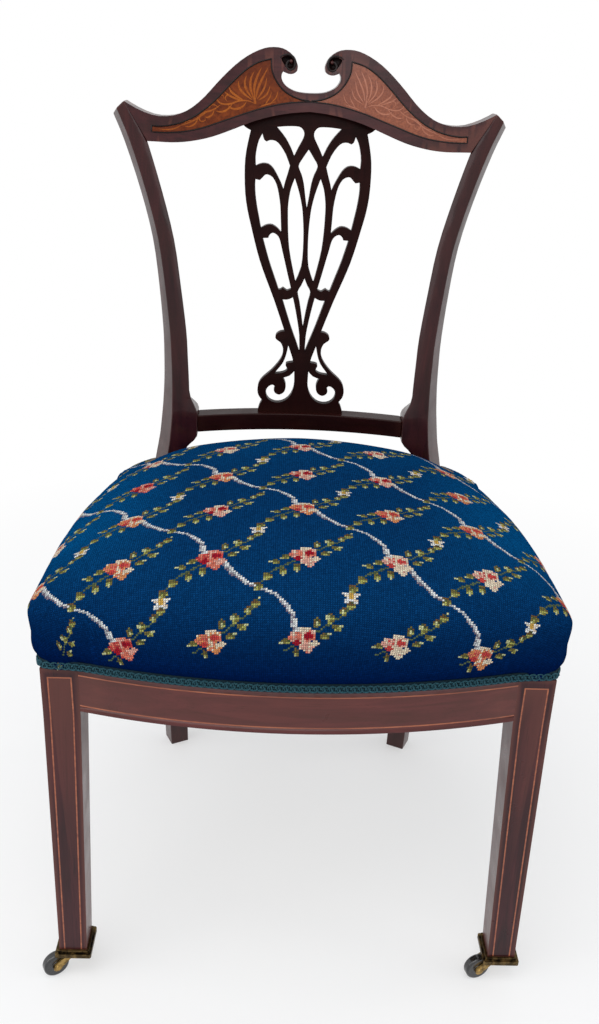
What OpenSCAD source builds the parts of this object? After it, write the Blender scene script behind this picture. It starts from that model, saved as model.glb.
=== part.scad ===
// Side chair with a swan neck crest, a pierced splat, a sprung stuffed seat and brass front castors
// Lengths are millimetres, angles are degrees, +Z is up and the sitter faces -Y

/* [Seat frame] */
// Width over the outer faces of the front legs
seat_w = 470; // [440:1:510]
// Width that the sides of the frame draw in to at the rear rail
seat_rear_w = 344; // [330:1:370]
// Depth from the front legs' faces to the back of the rear rail
seat_d = 372; // [350:1:410]
// How far the front rail bows forward at its middle
front_bow = 27; // [16:1:36]
// Height of the top of the show wood above the floor
rail_top = 383; // [350:1:420]
// Height of the show wood
rail_h = 46; // [40:1:56]
// Thickness of the four seat rails
rail_t = 22; // [18:1:26]
// Height of the tongue that the upholstery is fixed to
tongue_h = 16; // [12:1:22]
// Rebate from the show wood in to the tongue
rebate = 4; // [3:0.5:6]

/* [Front legs] */
// Width of a front leg at the rail
leg_w = 34.5; // [30:0.5:40]
// Width of a front leg at the foot
leg_foot_w = 28.5; // [26:0.5:32]
// Depth of a front leg at the rail
leg_d = 37; // [33:0.5:42]
// Depth of a front leg at the foot
leg_foot_d = 29.5; // [27:0.5:34]
// Outward splay of a front leg's outer face at the foot
leg_splay = 4; // [0:0.5:8]

/* [Back] */
// Distance from the middle of the chair to each rear leg's centre at the seat
rear_leg_x = 158; // [152:1:166]
// Width of a rear leg's front face at the seat
rear_leg_w = 32; // [28:1:36]
// Depth of a rear leg at the seat
rear_leg_d = 36; // [32:1:40]
// How far the rear feet stand behind the seat joint
foot_rake = 49; // [20:1:60]
// Turn of each post towards the sitter
post_turn = 26; // [18:1:30]
// Radius of the backward sweep of the posts and the splat
sweep_r = 2200; // [1800:10:3000]
// Radius of the crest and the cross rail in plan
bow_r = 440; // [400:5:520]
// Height of the crest's lower edge at the middle above the show wood
crest_up = 455; // [420:1:490]
// Height of the crest's shoulders above its lower edge at the middle
crest_h = 64; // [56:1:72]
// Thickness of the crest rail
crest_t = 22; // [18:0.5:26]
// Height of the top of the cross rail above the show wood
cross_up = 119; // [112:1:135]
// Height of the cross rail
cross_h = 20.5; // [17:0.5:24]
// Depth of the cross rail from front to back
cross_d = 23; // [18:0.5:25]
// Thickness of the splat
splat_t = 9; // [7:0.5:11]
// Width of the splat over its outer straps
splat_w = 142.6; // [130:0.2:150]

/* [Seat] */
// Height of the crown above the show wood
crown = 110; // [80:1:120]
// How far the upholstery bulges past the frame
bulge = 17.5; // [12:0.5:20]
// Thickness of the needlework cover
cover_t = 2.5; // [2:0.1:4]
// Height of the gimp braid
gimp_h = 10.5; // [8:0.5:12]
// Thickness of the gimp braid
gimp_t = 2; // [1.5:0.1:3]
// Width of a strip of webbing
web_w = 50; // [40:1:54]
// Thickness of the webbing
web_t = 1.4; // [1:0.1:2]
// Thickness of the spring wire
wire_d = 3; // [2.4:0.1:3.6]
// Widest radius of a seat spring
spring_r = 32; // [26:1:36]

/* [Castors] */
// Radius of a castor wheel
wheel_r = 13.6; // [12:0.1:15]
// Width of a castor wheel's tread
wheel_w = 9.2; // [8:0.2:11]
// Distance from the swivel axis back to the wheel's axle
trail = 23.5; // [21:0.5:26]
// Thickness of the castor's plate
plate_t = 8; // [6:0.2:9]
// Overhang of the plate round the leg's foot
plate_lip = 4.5; // [3:0.5:5]
// Radius of the swivel pin
pin_r = 3.5; // [3:0.1:4]
// Radius of the wheel's axle
axle_r = 1.9; // [1.6:0.1:2.2]

/* [Trim] */
// Width of the stringing lines
string_w = 1.3; // [1:0.1:2]
// Depth of the stringing and of the crest's sunk panels
inlay_d = 0.7; // [0.5:0.1:1]
// Distance from the edges of the wood in to the stringing
string_in = 6; // [4:0.5:9]

/* [Hidden] */
$fn = 96;
SIDES = ["left", "right"];
glue = 0.15;         // clearance of a tenon in its mortise
soft_gap = 0.3;      // clearance of a soft piece on its seat
run = 0.05;          // radial running clearance of a pin
eps = 0.5;           // how far a cut runs past a face
through = seat_d;    // length of a cut from front to back
crest_z = rail_top + crest_up;
cross_z = rail_top + cross_up;
rail_low = rail_top - rail_h;
seat_top = rail_top + tongue_h;
front_y = 0;
leg_in = seat_w / 2 - leg_w;
bow_front_r = (leg_in * leg_in + front_bow * front_bow) / (2 * front_bow);
side_start = 40;     // where the sides of the seat begin to draw in
side_power = 2.5;    // how late the sides draw in
tenon_t = 8;
tenon_l = 14;
tenon_h = rail_h - 16;
sheet_t = 1.2;       // thickness of the hessian
// The castors carry the front legs, so their stack sets the height of the foot
crown_gap = 0.3;
crown_t = 5;
arm_t = 2.2;
hub_w = wheel_w + 1;
plate_z = 2 * wheel_r + 0.8;
foot_z = plate_z + plate_t;
foot_x = seat_w / 2 + leg_splay - leg_foot_w / 2;
foot_y = leg_foot_d / 2;
trail_turns = [212, 198]; // both castors were left trailing towards -X
// The crest was drawn for posts 158 mm out and is stretched sideways to other widths
crest_v = crest_h / 64;
ear = [rear_leg_x + 40, crest_z + 6.5 * crest_v];
ear_tip = [rear_leg_x + 54, crest_z - 6.5 * crest_v];
post_corner = [rear_leg_x + 16.5, crest_z - 33 * crest_v];
crest_k = [ear[0] / 198, crest_v];
back_y0 = seat_d + 16;
rear_y = back_y(rear_leg_x, seat_top);
mid_z = crest_z + 15 * crest_v;
crest_rake = asin((mid_z - rail_top) / sweep_r);
cross_y = back_y(0, cross_z - cross_h / 2);
cross_x = rear_leg_x - 36.5;
splat_h = crest_z - cross_z;
splat_k = [splat_w / 142.6, splat_h / 336];
post_k = (crest_z - seat_top) / 439;
screw_r = 1.6;
screw_head_r = 3.1;
block_h = 32;
block_z = rail_low + 8;
tack_r = 0.9;
// The chair stands with the middle of its bounding box on the origin
crest_back = back_y(40, crest_z + crest_h) + crest_t / 2;
mid_y = (crest_back - front_bow - bulge) / 2;

// Curves

function catmull(a, b, c, d, t) =
    0.5 * ((2 * b) + (c - a) * t + (2 * a - 5 * b + 4 * c - d) * t * t
    + (3 * b - a - 3 * c + d) * t * t * t);

// Smooth curve through the points of one run, with n steps between neighbours
function curve(p, n) = [
    for (i = [0 : len(p) - 2], k = [0 : n - 1])
        catmull(p[max(i - 1, 0)], p[i], p[i + 1], p[min(i + 2, len(p) - 1)], k / n),
    p[len(p) - 1]
];

function front_of(p) = [for (i = [0 : len(p) - 2]) p[i]];

// Closed outline from runs that meet at sharp corners
function outline(runs, n = 2) = [for (r = runs) each front_of(curve(r, n))];

function mirrored(p) = [for (q = p) [-q[0], q[1]]];

function reversed(p) = [for (i = [len(p) - 1 : -1 : 0]) p[i]];

function stretched(p, k) = [for (q = p) [q[0] * k[0], q[1] * k[1]]];

function smooth_step(t) = let (c = min(max(t, 0), 1)) c * c * (3 - 2 * c);

// Depth of the back's middle surface at a place on its front view
function back_y(x, z) =
    back_y0 + sweep_r - sqrt(sweep_r * sweep_r - (z - rail_top) * (z - rail_top))
    - bow_r + sqrt(bow_r * bow_r - x * x);

// Half width of the seat frame at a distance behind the front legs' faces
function half_w(y) =
    seat_w / 2 - (seat_w - seat_rear_w) / 2
    * pow(max(0, y - side_start) / (seat_d - side_start), side_power);

function front_arc_y(x) = front_y - front_bow + bow_front_r - sqrt(bow_front_r * bow_front_r - x * x);

// Solids from rings of points

function ring_faces(rings, n, closed) = [
    for (i = [0 : rings - 2], j = [0 : n - 1])
        each [
            [i * n + j, i * n + (j + 1) % n, (i + 1) * n + j],
            [i * n + (j + 1) % n, (i + 1) * n + (j + 1) % n, (i + 1) * n + j]
        ],
    if (!closed) each [[for (j = [n - 1 : -1 : 0]) j], [for (j = [0 : n - 1]) (rings - 1) * n + j]]
];

// Each ring turns clockwise when it is seen from the loft's far end
module loft(rings) {
    n = len(rings[0]);
    polyhedron([for (r = rings) each r], ring_faces(len(rings), n, false), 10);
}

module upright(y_far, depth) {
    translate([0, y_far, 0]) rotate([90, 0, 0]) linear_extrude(depth) children();
}

module side_mirror(side) {
    if (side == "left") mirror([1, 0, 0]) children();
    else children();
}

module wood(tint = 0) {
    color([0.26 + tint, 0.09 + tint / 2, 0.07 + tint / 3]) children();
}

module placed() {
    translate([0, -mid_y, 0]) children();
}

// Crest rail

crest_low = [
    [0, 0], [20, -1.8], [40, -5.3], [60, -10.7], [75, -16.4], [90, -22.2],
    [106, -27.8], [121, -31.4], [136, -33.6], [150, -34.2], [163, -33.6], [174.5, -33]
];
crest_top = [
    [198, 6.5], [186, -0.5], [170, -6.8], [155, -8], [141, -5.3], [128, 1.5],
    [115, 12.5], [103, 25.5], [90, 38.5], [77, 49.5], [64, 57.5], [52, 62.4],
    [42, 63.9], [32, 63], [23.5, 58.8], [17.5, 52.5], [15, 46]
];
crest_scroll = [[15, 46], [15.6, 41], [19.5, 38], [25, 37.6], [31, 39.8]];
crest_gap = [[31, 39.8], [32.6, 36], [31.8, 30.8], [27, 25], [18, 20.6], [9, 19], [0, 18.7]];
panel_top = [
    [170.5, -17.3], [163, -18], [152, -17], [140, -14.1], [128.5, -9.1], [119, -3.1],
    [109, 4.6], [99, 14.1], [89, 24.5], [78, 34.9], [67.5, 43.1], [56.7, 48.7], [44, 52.1]
];
panel_inner = [[44, 52.1], [43.3, 41.9], [39.7, 32.9], [32.9, 23.8], [23.5, 17], [11, 12.4], [0, 11.1]];
panel_low = [
    [0, 10], [21.5, 8.5], [41, 4.9], [61, -0.4], [81, -7.1], [100.7, -13.8],
    [118, -19.5], [135.5, -23.1], [154, -24.5], [170.5, -23.9]
];

function crest_place(p) = [for (q = stretched(p, crest_k)) [q[0], crest_z + q[1]]];

function crest_half() = concat(
    front_of(curve(crest_low, 2)), [[174.5, -33]], front_of(curve(crest_top, 2)),
    front_of(curve(crest_scroll, 2)), curve(crest_gap, 3)
);

// A layer of the bowed and raked crest, measured back from its front face
module crest_layer(from, to) {
    front_r = bow_r - crest_t / 2;
    translate([0, back_y(0, mid_z), mid_z])
        rotate([-crest_rake, 0, 0])
        translate([0, -bow_r, -150])
        linear_extrude(300)
        intersection() {
            difference() {
                circle(front_r + to, $fn = 256);
                circle(front_r + from, $fn = 256);
            }
            translate([-rear_leg_x - 80, 0]) square([2 * rear_leg_x + 160, bow_r + crest_t]);
        }
}

module panel_shape() {
    half = outline([panel_top, panel_inner, [[0, 11.1], [0, 10]], panel_low]);
    polygon(crest_place(concat(half, [[170.5, -23.9]])));
}

module crest_shape() {
    half = crest_place(crest_half());
    polygon(concat(front_of(half), reversed(mirrored([for (i = [1 : len(half) - 1]) half[i]]))));
}

module crest_rail() {
    wood() placed() difference() {
        intersection() {
            upright(back_y0 + through / 2, through) crest_shape();
            crest_layer(0, crest_t);
        }
        for (side = SIDES) side_mirror(side) intersection() {
            upright(back_y0 + through / 2, through) panel_shape();
            crest_layer(-eps, 2 * inlay_d);
        }
        splat_tenon(true, glue);
    }
}

module crest_panel(side) {
    color([0.72, 0.30, 0.10]) placed() side_mirror(side) intersection() {
        upright(back_y0 + through / 2, through) panel_shape();
        crest_layer(inlay_d, 2 * inlay_d);
    }
}

// Pierced splat, drawn on a board 142.6 mm wide and 336 mm high that stands on the cross rail

splat_side = [
    [[66, 324.5], [74, 321.5], [71.1, 317.6], [65.3, 314.8]],
    [
        [65.3, 314.8], [68.4, 301.5], [70.9, 285.8], [71.3, 268], [70.2, 248], [67.4, 231],
        [63.2, 214.7], [57.8, 194.5], [52.3, 176.5], [45.4, 158.5], [34.4, 132], [21.4, 96.8]
    ],
    [
        [21.4, 96.8], [26.2, 96], [30.6, 93.2], [32, 89], [29.8, 86.2], [25.5, 83.2],
        [23, 78], [22.5, 73], [23.6, 66.6], [28.1, 58.7], [36.1, 49.4], [45.5, 41.1],
        [50.5, 34], [51.9, 25.7], [50.2, 18.9], [46, 13.5]
    ],
    [[46, 13.5], [48.7, 8.6], [50.6, 3], [51.1, 0]]
];
top_light = [
    [
        [36.3, 319], [29.5, 319.8], [20.5, 320.4], [11.5, 320.1], [7.5, 317.6],
        [5.5, 313.4], [6.5, 308], [11.7, 298.5], [16.1, 289.5]
    ],
    [[16.1, 289.5], [20, 298], [25.8, 307.4], [32.2, 314.9], [36.3, 319]]
];
shoulder_light = [
    [[52.2, 311.6], [50.3, 305.7], [47.3, 303.6]],
    [[47.3, 303.6], [43.5, 305.2], [37.4, 304.6], [31.8, 300], [25.4, 290.6], [20.5, 279]],
    [[20.5, 279], [23, 270], [25.6, 261.6], [27.3, 254]],
    [
        [27.3, 254], [29.3, 259.2], [33.2, 266.5], [38.9, 275.6], [44.7, 280.2],
        [51.2, 280.9], [56.4, 279.3], [58.9, 277.8]
    ],
    [[58.9, 277.8], [59.4, 287], [58.1, 296.6], [55.8, 305], [52.2, 311.6]]
];
lens_light = [
    [
        [14.6, 266.2], [18.4, 256], [20.4, 245.7], [21.3, 236], [21.2, 226], [20.4, 208],
        [18.5, 189], [14.5, 170], [10.4, 153.5]
    ],
    [
        [10.4, 153.5], [4.3, 170], [2.8, 189], [2.9, 208], [4, 224], [5.6, 236.5],
        [8.9, 250], [12.4, 260.4], [14.6, 266.2]
    ]
];
upper_arch_light = [
    [[59, 264], [54, 263]],
    [
        [54, 263], [51, 265.9], [48.4, 268.6], [45.2, 269.2], [39.7, 266.5], [35.2, 259.2],
        [32.4, 249.4], [30.2, 236.5], [29.4, 224], [28.4, 207.5]
    ],
    [[28.4, 207.5], [32.6, 211.9], [38.2, 215.4], [43.1, 215.7], [47.7, 214.3], [51.7, 211.8]],
    [[51.7, 211.8], [54.2, 223.5], [56.7, 235.2], [58.6, 247.5], [59.3, 256.8], [59, 264]]
];
lower_arch_light = [
    [[49.2, 200.9], [42.9, 201.3]],
    [
        [42.9, 201.3], [41.5, 204.7], [37.9, 207], [33.3, 205], [29.8, 200], [26.9, 189],
        [23.9, 177.9], [20, 163], [15.2, 145.5]
    ],
    [[15.2, 145.5], [19.5, 143.4], [22.4, 145], [24.8, 146.5]],
    [[24.8, 146.5], [27.2, 144.6], [29.6, 144]],
    [[29.6, 144], [35.7, 160.3], [42.1, 177.6], [49.2, 200.9]]
];
slit_light = [
    [[24.9, 133.3], [20.8, 133.1], [16.8, 133.9], [12.8, 136]],
    [[12.8, 136], [10.5, 127], [6.8, 109.8], [3.9, 92.4], [3.2, 73]],
    [[3.2, 73], [7.3, 84.5], [14.7, 103.5], [24.9, 133.3]]
];
loop_light = [
    [[16.4, 80.1], [14, 73.5], [11.5, 66.6], [10, 60.5]],
    [
        [10, 60.5], [13.7, 60], [18.2, 58.8], [18.8, 56], [16.8, 51.8], [19.9, 48.6],
        [25.5, 46.9], [32.5, 46.2]
    ],
    [[32.5, 46.2], [27.9, 51.8], [22.2, 59.5], [18.6, 69], [16.4, 80.1]]
];
scroll_light = [
    [[8.5, 49.8], [13.8, 44.2], [21.6, 41.5]],
    [
        [21.6, 41.5], [19, 36.2], [18, 30.9], [19.8, 24.2], [25.7, 20.7], [30.8, 22.9],
        [32.3, 27], [31.1, 30.4], [33.4, 32.6], [36.6, 31.8], [39.8, 29.1], [41.7, 24.2],
        [40.2, 17.5], [34.8, 12.5], [26.8, 11.1], [18.7, 13.8], [12.1, 20.7],
        [8.5, 30.5], [8.1, 40.3], [8.5, 49.8]
    ]
];
upper_diamond = [[0, 296.7], [7, 286.5], [10.8, 278.9], [7, 270], [4.1, 260], [2.1, 247], [0, 234.6]];
lower_diamond = [[0, 157.7], [3.6, 149.5], [7.4, 142.4], [5, 131.6], [2.4, 117.8], [0, 101.8]];

function splat_place(p) = [for (q = stretched(p, splat_k)) [q[0], cross_z + q[1]]];

module light(runs) {
    for (side = SIDES) mirror([side == "left" ? 1 : 0, 0]) polygon(splat_place(outline(runs)));
}

module diamond(p) {
    half = curve(p, 2);
    polygon(splat_place(concat(front_of(half), reversed(mirrored([for (i = [1 : len(half) - 1]) half[i]])))));
}

module splat_board() {
    side = concat([[0, crest_z + 4]], splat_place(concat([[66, 328]], outline(splat_side), [[51.1, 0]])));
    difference() {
        polygon(concat(side, reversed(mirrored([for (i = [1 : len(side) - 1]) side[i]]))));
        for (runs = [
            top_light, shoulder_light, lens_light, upper_arch_light, lower_arch_light,
            slit_light, loop_light, scroll_light
        ]) light(runs);
        diamond(upper_diamond);
        diamond(lower_diamond);
        // The splat's top edge is the crest's lower edge
        crest_shape();
    }
}

// The backward sweep of the splat, as a layer about the back's middle surface
module sweep_layer(t) {
    translate([-rear_leg_x, 0, 0]) rotate([90, 0, 90]) linear_extrude(2 * rear_leg_x)
        intersection() {
            translate([back_y0 + sweep_r, rail_top]) difference() {
                circle(sweep_r + t / 2, $fn = 256);
                circle(sweep_r - t / 2, $fn = 256);
            }
            translate([back_y0 - 20, rail_top]) square([200, crest_z - rail_top + 80]);
        }
}

module splat_tenon(at_top, gap) {
    w = at_top ? 70 : 80;
    z = at_top ? crest_z - 12 : cross_z - 7;
    h = at_top ? 16 : 9;
    intersection() {
        translate([-w / 2 - gap, back_y0 - 40, z - gap]) cube([w + 2 * gap, 200, h + 2 * gap]);
        sweep_layer(splat_t - 4 + 2 * gap);
    }
}

module splat() {
    wood(0.02) placed() union() {
        intersection() {
            upright(back_y0 + through / 2, through) splat_board();
            sweep_layer(splat_t);
        }
        splat_tenon(true, 0);
        splat_tenon(false, 0);
    }
}

// Cross rail

module cross_arc(t, x) {
    translate([0, cross_y - bow_r]) intersection() {
        difference() {
            circle(bow_r + t / 2, $fn = 256);
            circle(bow_r - t / 2, $fn = 256);
        }
        translate([-x, 0]) square([2 * x, bow_r + t]);
    }
}

module cross_tenons(gap) {
    end_y = cross_y - bow_r + sqrt(bow_r * bow_r - cross_x * cross_x);
    for (side = SIDES) side_mirror(side)
        translate([cross_x - eps, end_y - 4 - gap, cross_z - cross_h + 4 - gap])
        cube([10 + eps + gap, 8 + 2 * gap, cross_h - 8 + 2 * gap]);
}

module cross_rail() {
    wood() placed() difference() {
        union() {
            translate([0, 0, cross_z - cross_h]) linear_extrude(cross_h) cross_arc(cross_d, cross_x);
            cross_tenons(0);
        }
        splat_tenon(false, glue);
    }
}

// Rear legs: each is one piece from the foot to the ear

// Height, offset from the seat joint, width, depth and height of the front's middle ridge
leg_below = [[rail_low - 4, 0, 1, 1, 0], [rail_low - 34, 0, 0.94, 0.92, 0], [150, 0, 0.83, 0.78, 0], [0, 0, 0.78, 0.67, 0]];
leg_above = [
    [0, 0, 32, 36, 0], [29, -1.5, 27, 36, 0.5], [54, -4.5, 24, 36, 1], [67, -6.5, 23.4, 35, 1.2],
    [80, -8.4, 23, 34.5, 1.4], [106, -10.8, 22.5, 33.5, 1.6], [118, -11.3, 22, 31.5, 1.8],
    [144, -11.8, 21, 28.5, 2], [174, -11.3, 20.3, 26, 2.2], [204, -10.1, 20, 24.4, 2.4],
    [254, -5.1, 19, 21.5, 2.5], [304, 1.7, 18.6, 20.5, 2.5], [354, 14, 18.6, 20.5, 2.5],
    [404, 29.4, 19.5, 22, 2.5], [434, 41, 20.5, 22.5, 2.5], [456, 50, 21, 22.5, 2.5]
];

function leg_y(x, z) =
    z >= rail_low - 4 ? back_y(x, max(z, seat_top))
    : rear_y + foot_rake * pow((rail_low - 4 - z) / (rail_low - 4), 1.4);

// The knee reaches in to the cross rail's end
function knee(z) =
    smooth_step((cross_z + 30 - z) / 27) * smooth_step((z - cross_z + cross_h + 17) / 15);

function leg_ring(z, x, w, d, ridge) =
    let (
        c = [x, leg_y(x, z)],
        u = [cos(post_turn), -sin(post_turn)],
        v = [sin(post_turn), cos(post_turn)],
        k = knee(z),
        in_front = c - u * w / 2 - v * d / 2,
        in_back = c - u * w / 2 + v * d / 2,
        middle = c - v * (d / 2 + ridge),
        out_front = c + u * w / 2 - v * d / 2,
        out_back = c + u * w / 2 + v * d / 2
    )
    [
        [in_front[0] + (cross_x - in_front[0]) * k, in_front[1], z],
        [in_back[0] + (cross_x - in_back[0]) * k, in_back[1], z],
        [out_back[0], out_back[1], z],
        [out_front[0], out_front[1], z],
        [middle[0], middle[1], z]
    ];

function leg_rings() = concat(
    [for (s = reversed(curve(leg_below, 4)))
        leg_ring(s[0], rear_leg_x + s[1], rear_leg_w * s[2], rear_leg_d * s[3], s[4])],
    [for (s = curve(leg_above, 3))
        leg_ring(seat_top + s[0] * post_k, rear_leg_x + s[1],
            s[2] * rear_leg_w / 32, s[3] * rear_leg_d / 36, s[4])]
);

module rear_leg(side) {
    wood() placed() side_mirror(side) difference() {
        loft(leg_rings());
        // Slanting top of the ear
        upright(back_y0 + through / 2, through) polygon([
            ear_tip + 2 * (ear_tip - ear), ear_tip, ear, ear + 2 * (ear - ear_tip),
            ear + [20, 60], ear_tip + [60, 60]
        ]);
        // Mitre against the crest rail
        upright(back_y0 + through / 2, through) polygon([
            ear + (ear - post_corner), post_corner, post_corner - [70, 0], ear + [-90, 60]
        ]);
        cross_tenons(glue);
    }
}

module rear_leg_block() {
    translate([rear_leg_x, rear_y]) rotate(-post_turn) square([rear_leg_w, rear_leg_d], center = true);
}

// Front legs

function leg_rect(x0, x1, d, z) = [[x0, 0, z], [x0, d, z], [x1, d, z], [x1, 0, z]];

module leg_tongue() {
    intersection() {
        translate([leg_in, 0]) square([leg_w, leg_d]);
        tongue_plan();
    }
}

module front_leg(side) {
    outer = seat_w / 2;
    wood() placed() side_mirror(side) difference() {
        union() {
            loft([
                leg_rect(outer + leg_splay - leg_foot_w, outer + leg_splay, leg_foot_d, foot_z),
                leg_rect(leg_in, outer, leg_d, rail_low - 4),
                leg_rect(leg_in, outer, leg_d, rail_top)
            ]);
            translate([0, 0, rail_top - eps]) linear_extrude(tongue_h + eps) leg_tongue();
        }
        front_tenon(glue);
        side_tenon(glue);
        leg_string_lines(inlay_d);
        castor_at("right") castor_screw_set(screw_r, 0);
    }
}

// Seat rails: above the show wood only a tongue stands up, clear of the upholstery round it

module tongue_plan() {
    polygon(plan_points(0, rebate + soft_gap));
}

module tongue() {
    translate([0, 0, rail_top - eps]) linear_extrude(tongue_h + eps) intersection() {
        children();
        tongue_plan();
    }
}

module front_arc(from, to) {
    translate([0, bow_front_r - front_bow]) intersection() {
        difference() {
            circle(bow_front_r - from, $fn = 256);
            circle(bow_front_r - to, $fn = 256);
        }
        translate([-leg_in, -bow_front_r - eps]) square([2 * leg_in, bow_front_r]);
    }
}

module front_tenon(gap) {
    translate([leg_in - eps, rail_t / 2 - tenon_t / 2 - gap, rail_low + 6 - gap])
        cube([tenon_l + eps + gap, tenon_t + 2 * gap, tenon_h + 2 * gap]);
}

module side_tenon(gap) {
    translate([seat_w / 2 - rail_t / 2 - tenon_t / 2 + 2 - gap, leg_d - tenon_l - gap, rail_low + 6 - gap])
        cube([tenon_t + 2 * gap, tenon_l + eps + gap, tenon_h + 2 * gap]);
}

module front_rail() {
    wood() placed() difference() {
        union() {
            translate([0, 0, rail_low]) linear_extrude(rail_h) front_arc(0, rail_t);
            tongue() front_arc(0, rail_t);
            for (side = SIDES) side_mirror(side) front_tenon(0);
        }
        front_string_lines();
        screw_cuts();
        tack_set(tack_r);
    }
}

function side_steps() = [for (k = [0 : 12]) leg_d + (rear_y + 5 - leg_d) * k / 12];

// Plan of a side rail between two distances in from the frame's outline
module side_strip(from, to) {
    steps = side_steps();
    polygon(concat(
        [for (y = steps) [half_w(y) - from, y]],
        [for (y = reversed(steps)) [half_w(y) - to, y]]
    ));
}

module side_rail_plan() {
    difference() {
        side_strip(0, rail_t);
        rear_leg_block();
        translate([0, rear_y - 10]) square([seat_w, seat_d]);
    }
}

module side_rail(side) {
    wood() placed() side_mirror(side) difference() {
        union() {
            translate([0, 0, rail_low]) linear_extrude(rail_h) side_rail_plan();
            tongue() side_rail_plan();
            side_tenon(0);
        }
        screw_cuts();
        tack_set(tack_r);
    }
}

module rear_rail_plan() {
    difference() {
        translate([-rear_leg_x, seat_d - rail_t]) square([2 * rear_leg_x, rail_t]);
        for (side = SIDES) side_mirror(side) rear_leg_block();
        for (side = SIDES) side_mirror(side) translate([rear_leg_x - 12, 0]) square([100, seat_d + 100]);
    }
}

module rear_rail() {
    wood() placed() difference() {
        union() {
            translate([0, 0, rail_low]) linear_extrude(rail_h) rear_rail_plan();
            tongue() rear_rail_plan();
        }
        screw_cuts();
        tack_set(tack_r);
    }
}

// Stringing let into the front rail and the fronts of the legs

module front_string_lines() {
    for (z = [rail_low + string_in, rail_top - string_in - string_w])
        translate([0, 0, z]) linear_extrude(string_w) front_arc(-eps, inlay_d);
}

module front_rail_stringing() {
    color([0.80, 0.47, 0.20]) placed()
        for (z = [rail_low + string_in, rail_top - string_in - string_w])
            translate([0, 0, z]) linear_extrude(string_w) front_arc(0, inlay_d);
}

module leg_string_lines(depth) {
    outer = seat_w / 2;
    top = rail_top - string_in - 3;
    knee_z = rail_low - 4;
    low = foot_z + 1;
    foot_in = outer + leg_splay - leg_foot_w;
    upright(depth, depth) {
        polygon([
            [outer - string_in, top], [outer - string_in, knee_z],
            [outer + leg_splay - string_in + 1, low], [outer + leg_splay - string_in + 1 - string_w, low],
            [outer - string_in - string_w, knee_z], [outer - string_in - string_w, top]
        ]);
        polygon([
            [leg_in + string_in, top], [leg_in + string_in, knee_z],
            [foot_in + string_in - 1, low], [foot_in + string_in - 1 + string_w, low],
            [leg_in + string_in + string_w, knee_z], [leg_in + string_in + string_w, top]
        ]);
        translate([leg_in + string_in, top - string_w])
            square([leg_w - 2 * string_in, string_w]);
    }
}

module leg_stringing(side) {
    color([0.80, 0.47, 0.20]) placed() side_mirror(side) leg_string_lines(inlay_d);
}

// Corner blocks and their screws

module front_block_plan() {
    difference() {
        polygon([[leg_in - 62, 0], [seat_w / 2, 0], [seat_w / 2, leg_d + 66]]);
        front_arc(-rail_t, rail_t);
        translate([leg_in, 0]) square([leg_w, leg_d]);
        side_strip(-rail_t, rail_t);
    }
}

module rear_block_plan() {
    x = rear_leg_x;
    difference() {
        polygon([[x - 62, seat_d - rail_t], [x + 50, seat_d - rail_t], [x + 50, seat_d - rail_t - 106]]);
        rear_leg_block();
        side_strip(-rail_t - 40, rail_t);
    }
}

module screw_along(p, turn, length, r, head_r) {
    translate([p[0], p[1], block_z + block_h / 2]) rotate([0, 90, turn]) {
        cylinder(h = length, r = r);
        translate([0, 0, -60]) cylinder(h = 60, r = head_r);
    }
}

// Each screw's start, direction and length: two to a block on one side of the chair
function screw_list() = [
    [[leg_in - 24, front_arc_y(leg_in - 24) + rail_t + 9], -90, 22],
    [[seat_w / 2 - rail_t - 9, leg_d + 26], 0, 22],
    [[rear_leg_x - 36, seat_d - rail_t - 9], 90, 22],
    [[half_w(seat_d - rail_t - 60) - rail_t - 9, seat_d - rail_t - 60], 0, 22]
];

module screw_cuts() {
    for (side = SIDES) side_mirror(side) for (s = screw_list()) screw_along(s[0], s[1], s[2], 2, 0.01);
}

module block_cuts() {
    for (s = screw_list()) screw_along(s[0], s[1], s[2], 2, 4.2);
}

module front_block(side) {
    color([0.62, 0.47, 0.30]) placed() side_mirror(side) difference() {
        translate([0, 0, block_z]) linear_extrude(block_h) front_block_plan();
        block_cuts();
    }
}

module rear_block(side) {
    color([0.62, 0.47, 0.30]) placed() side_mirror(side) difference() {
        translate([0, 0, block_z]) linear_extrude(block_h) rear_block_plan();
        block_cuts();
    }
}

module block_screws() {
    color([0.45, 0.43, 0.40]) placed()
        for (side = SIDES) side_mirror(side) for (s = screw_list())
            translate([s[0][0], s[0][1], block_z + block_h / 2]) rotate([0, 90, s[1]]) {
                cylinder(h = s[2], r = 2);
                translate([0, 0, -2.4]) cylinder(h = 2.4, r = 4);
            }
}

// Webbing, tacks, springs and hessian

web_x = [-88, 0, 88];
web_y = [78, 166, 254];
function web_front() = front_y - 12;
function web_back() = seat_d - 6;
function web_half(y) = half_w(y + web_w / 2) - 5;

module webbing_long() {
    color([0.70, 0.60, 0.42]) placed() difference() {
        for (x = web_x) translate([x - web_w / 2, web_front(), rail_low - web_t])
            cube([web_w, web_back() - web_front(), web_t]);
        tack_set(tack_r);
    }
}

module webbing_cross() {
    color([0.66, 0.56, 0.38]) placed() difference() {
        for (y = web_y) translate([-web_half(y), y - web_w / 2, rail_low - 2 * web_t])
            cube([2 * web_half(y), web_w, web_t]);
        tack_set(tack_r);
    }
}

// Tacks as shanks of radius r, with heads of head_r under the webbing
module tack_set(r, head_r = 0) {
    for (x = web_x, dx = [-16, 0, 16], end = [web_front() + 6, web_back() - 6])
        translate([x + dx, end, rail_low - web_t]) tack(r, head_r, web_t);
    for (y = web_y, dy = [-16, 0, 16], s = [-1, 1])
        translate([s * (web_half(y) - 6), y + dy, rail_low - 2 * web_t]) tack(r, head_r, 2 * web_t);
}

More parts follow.
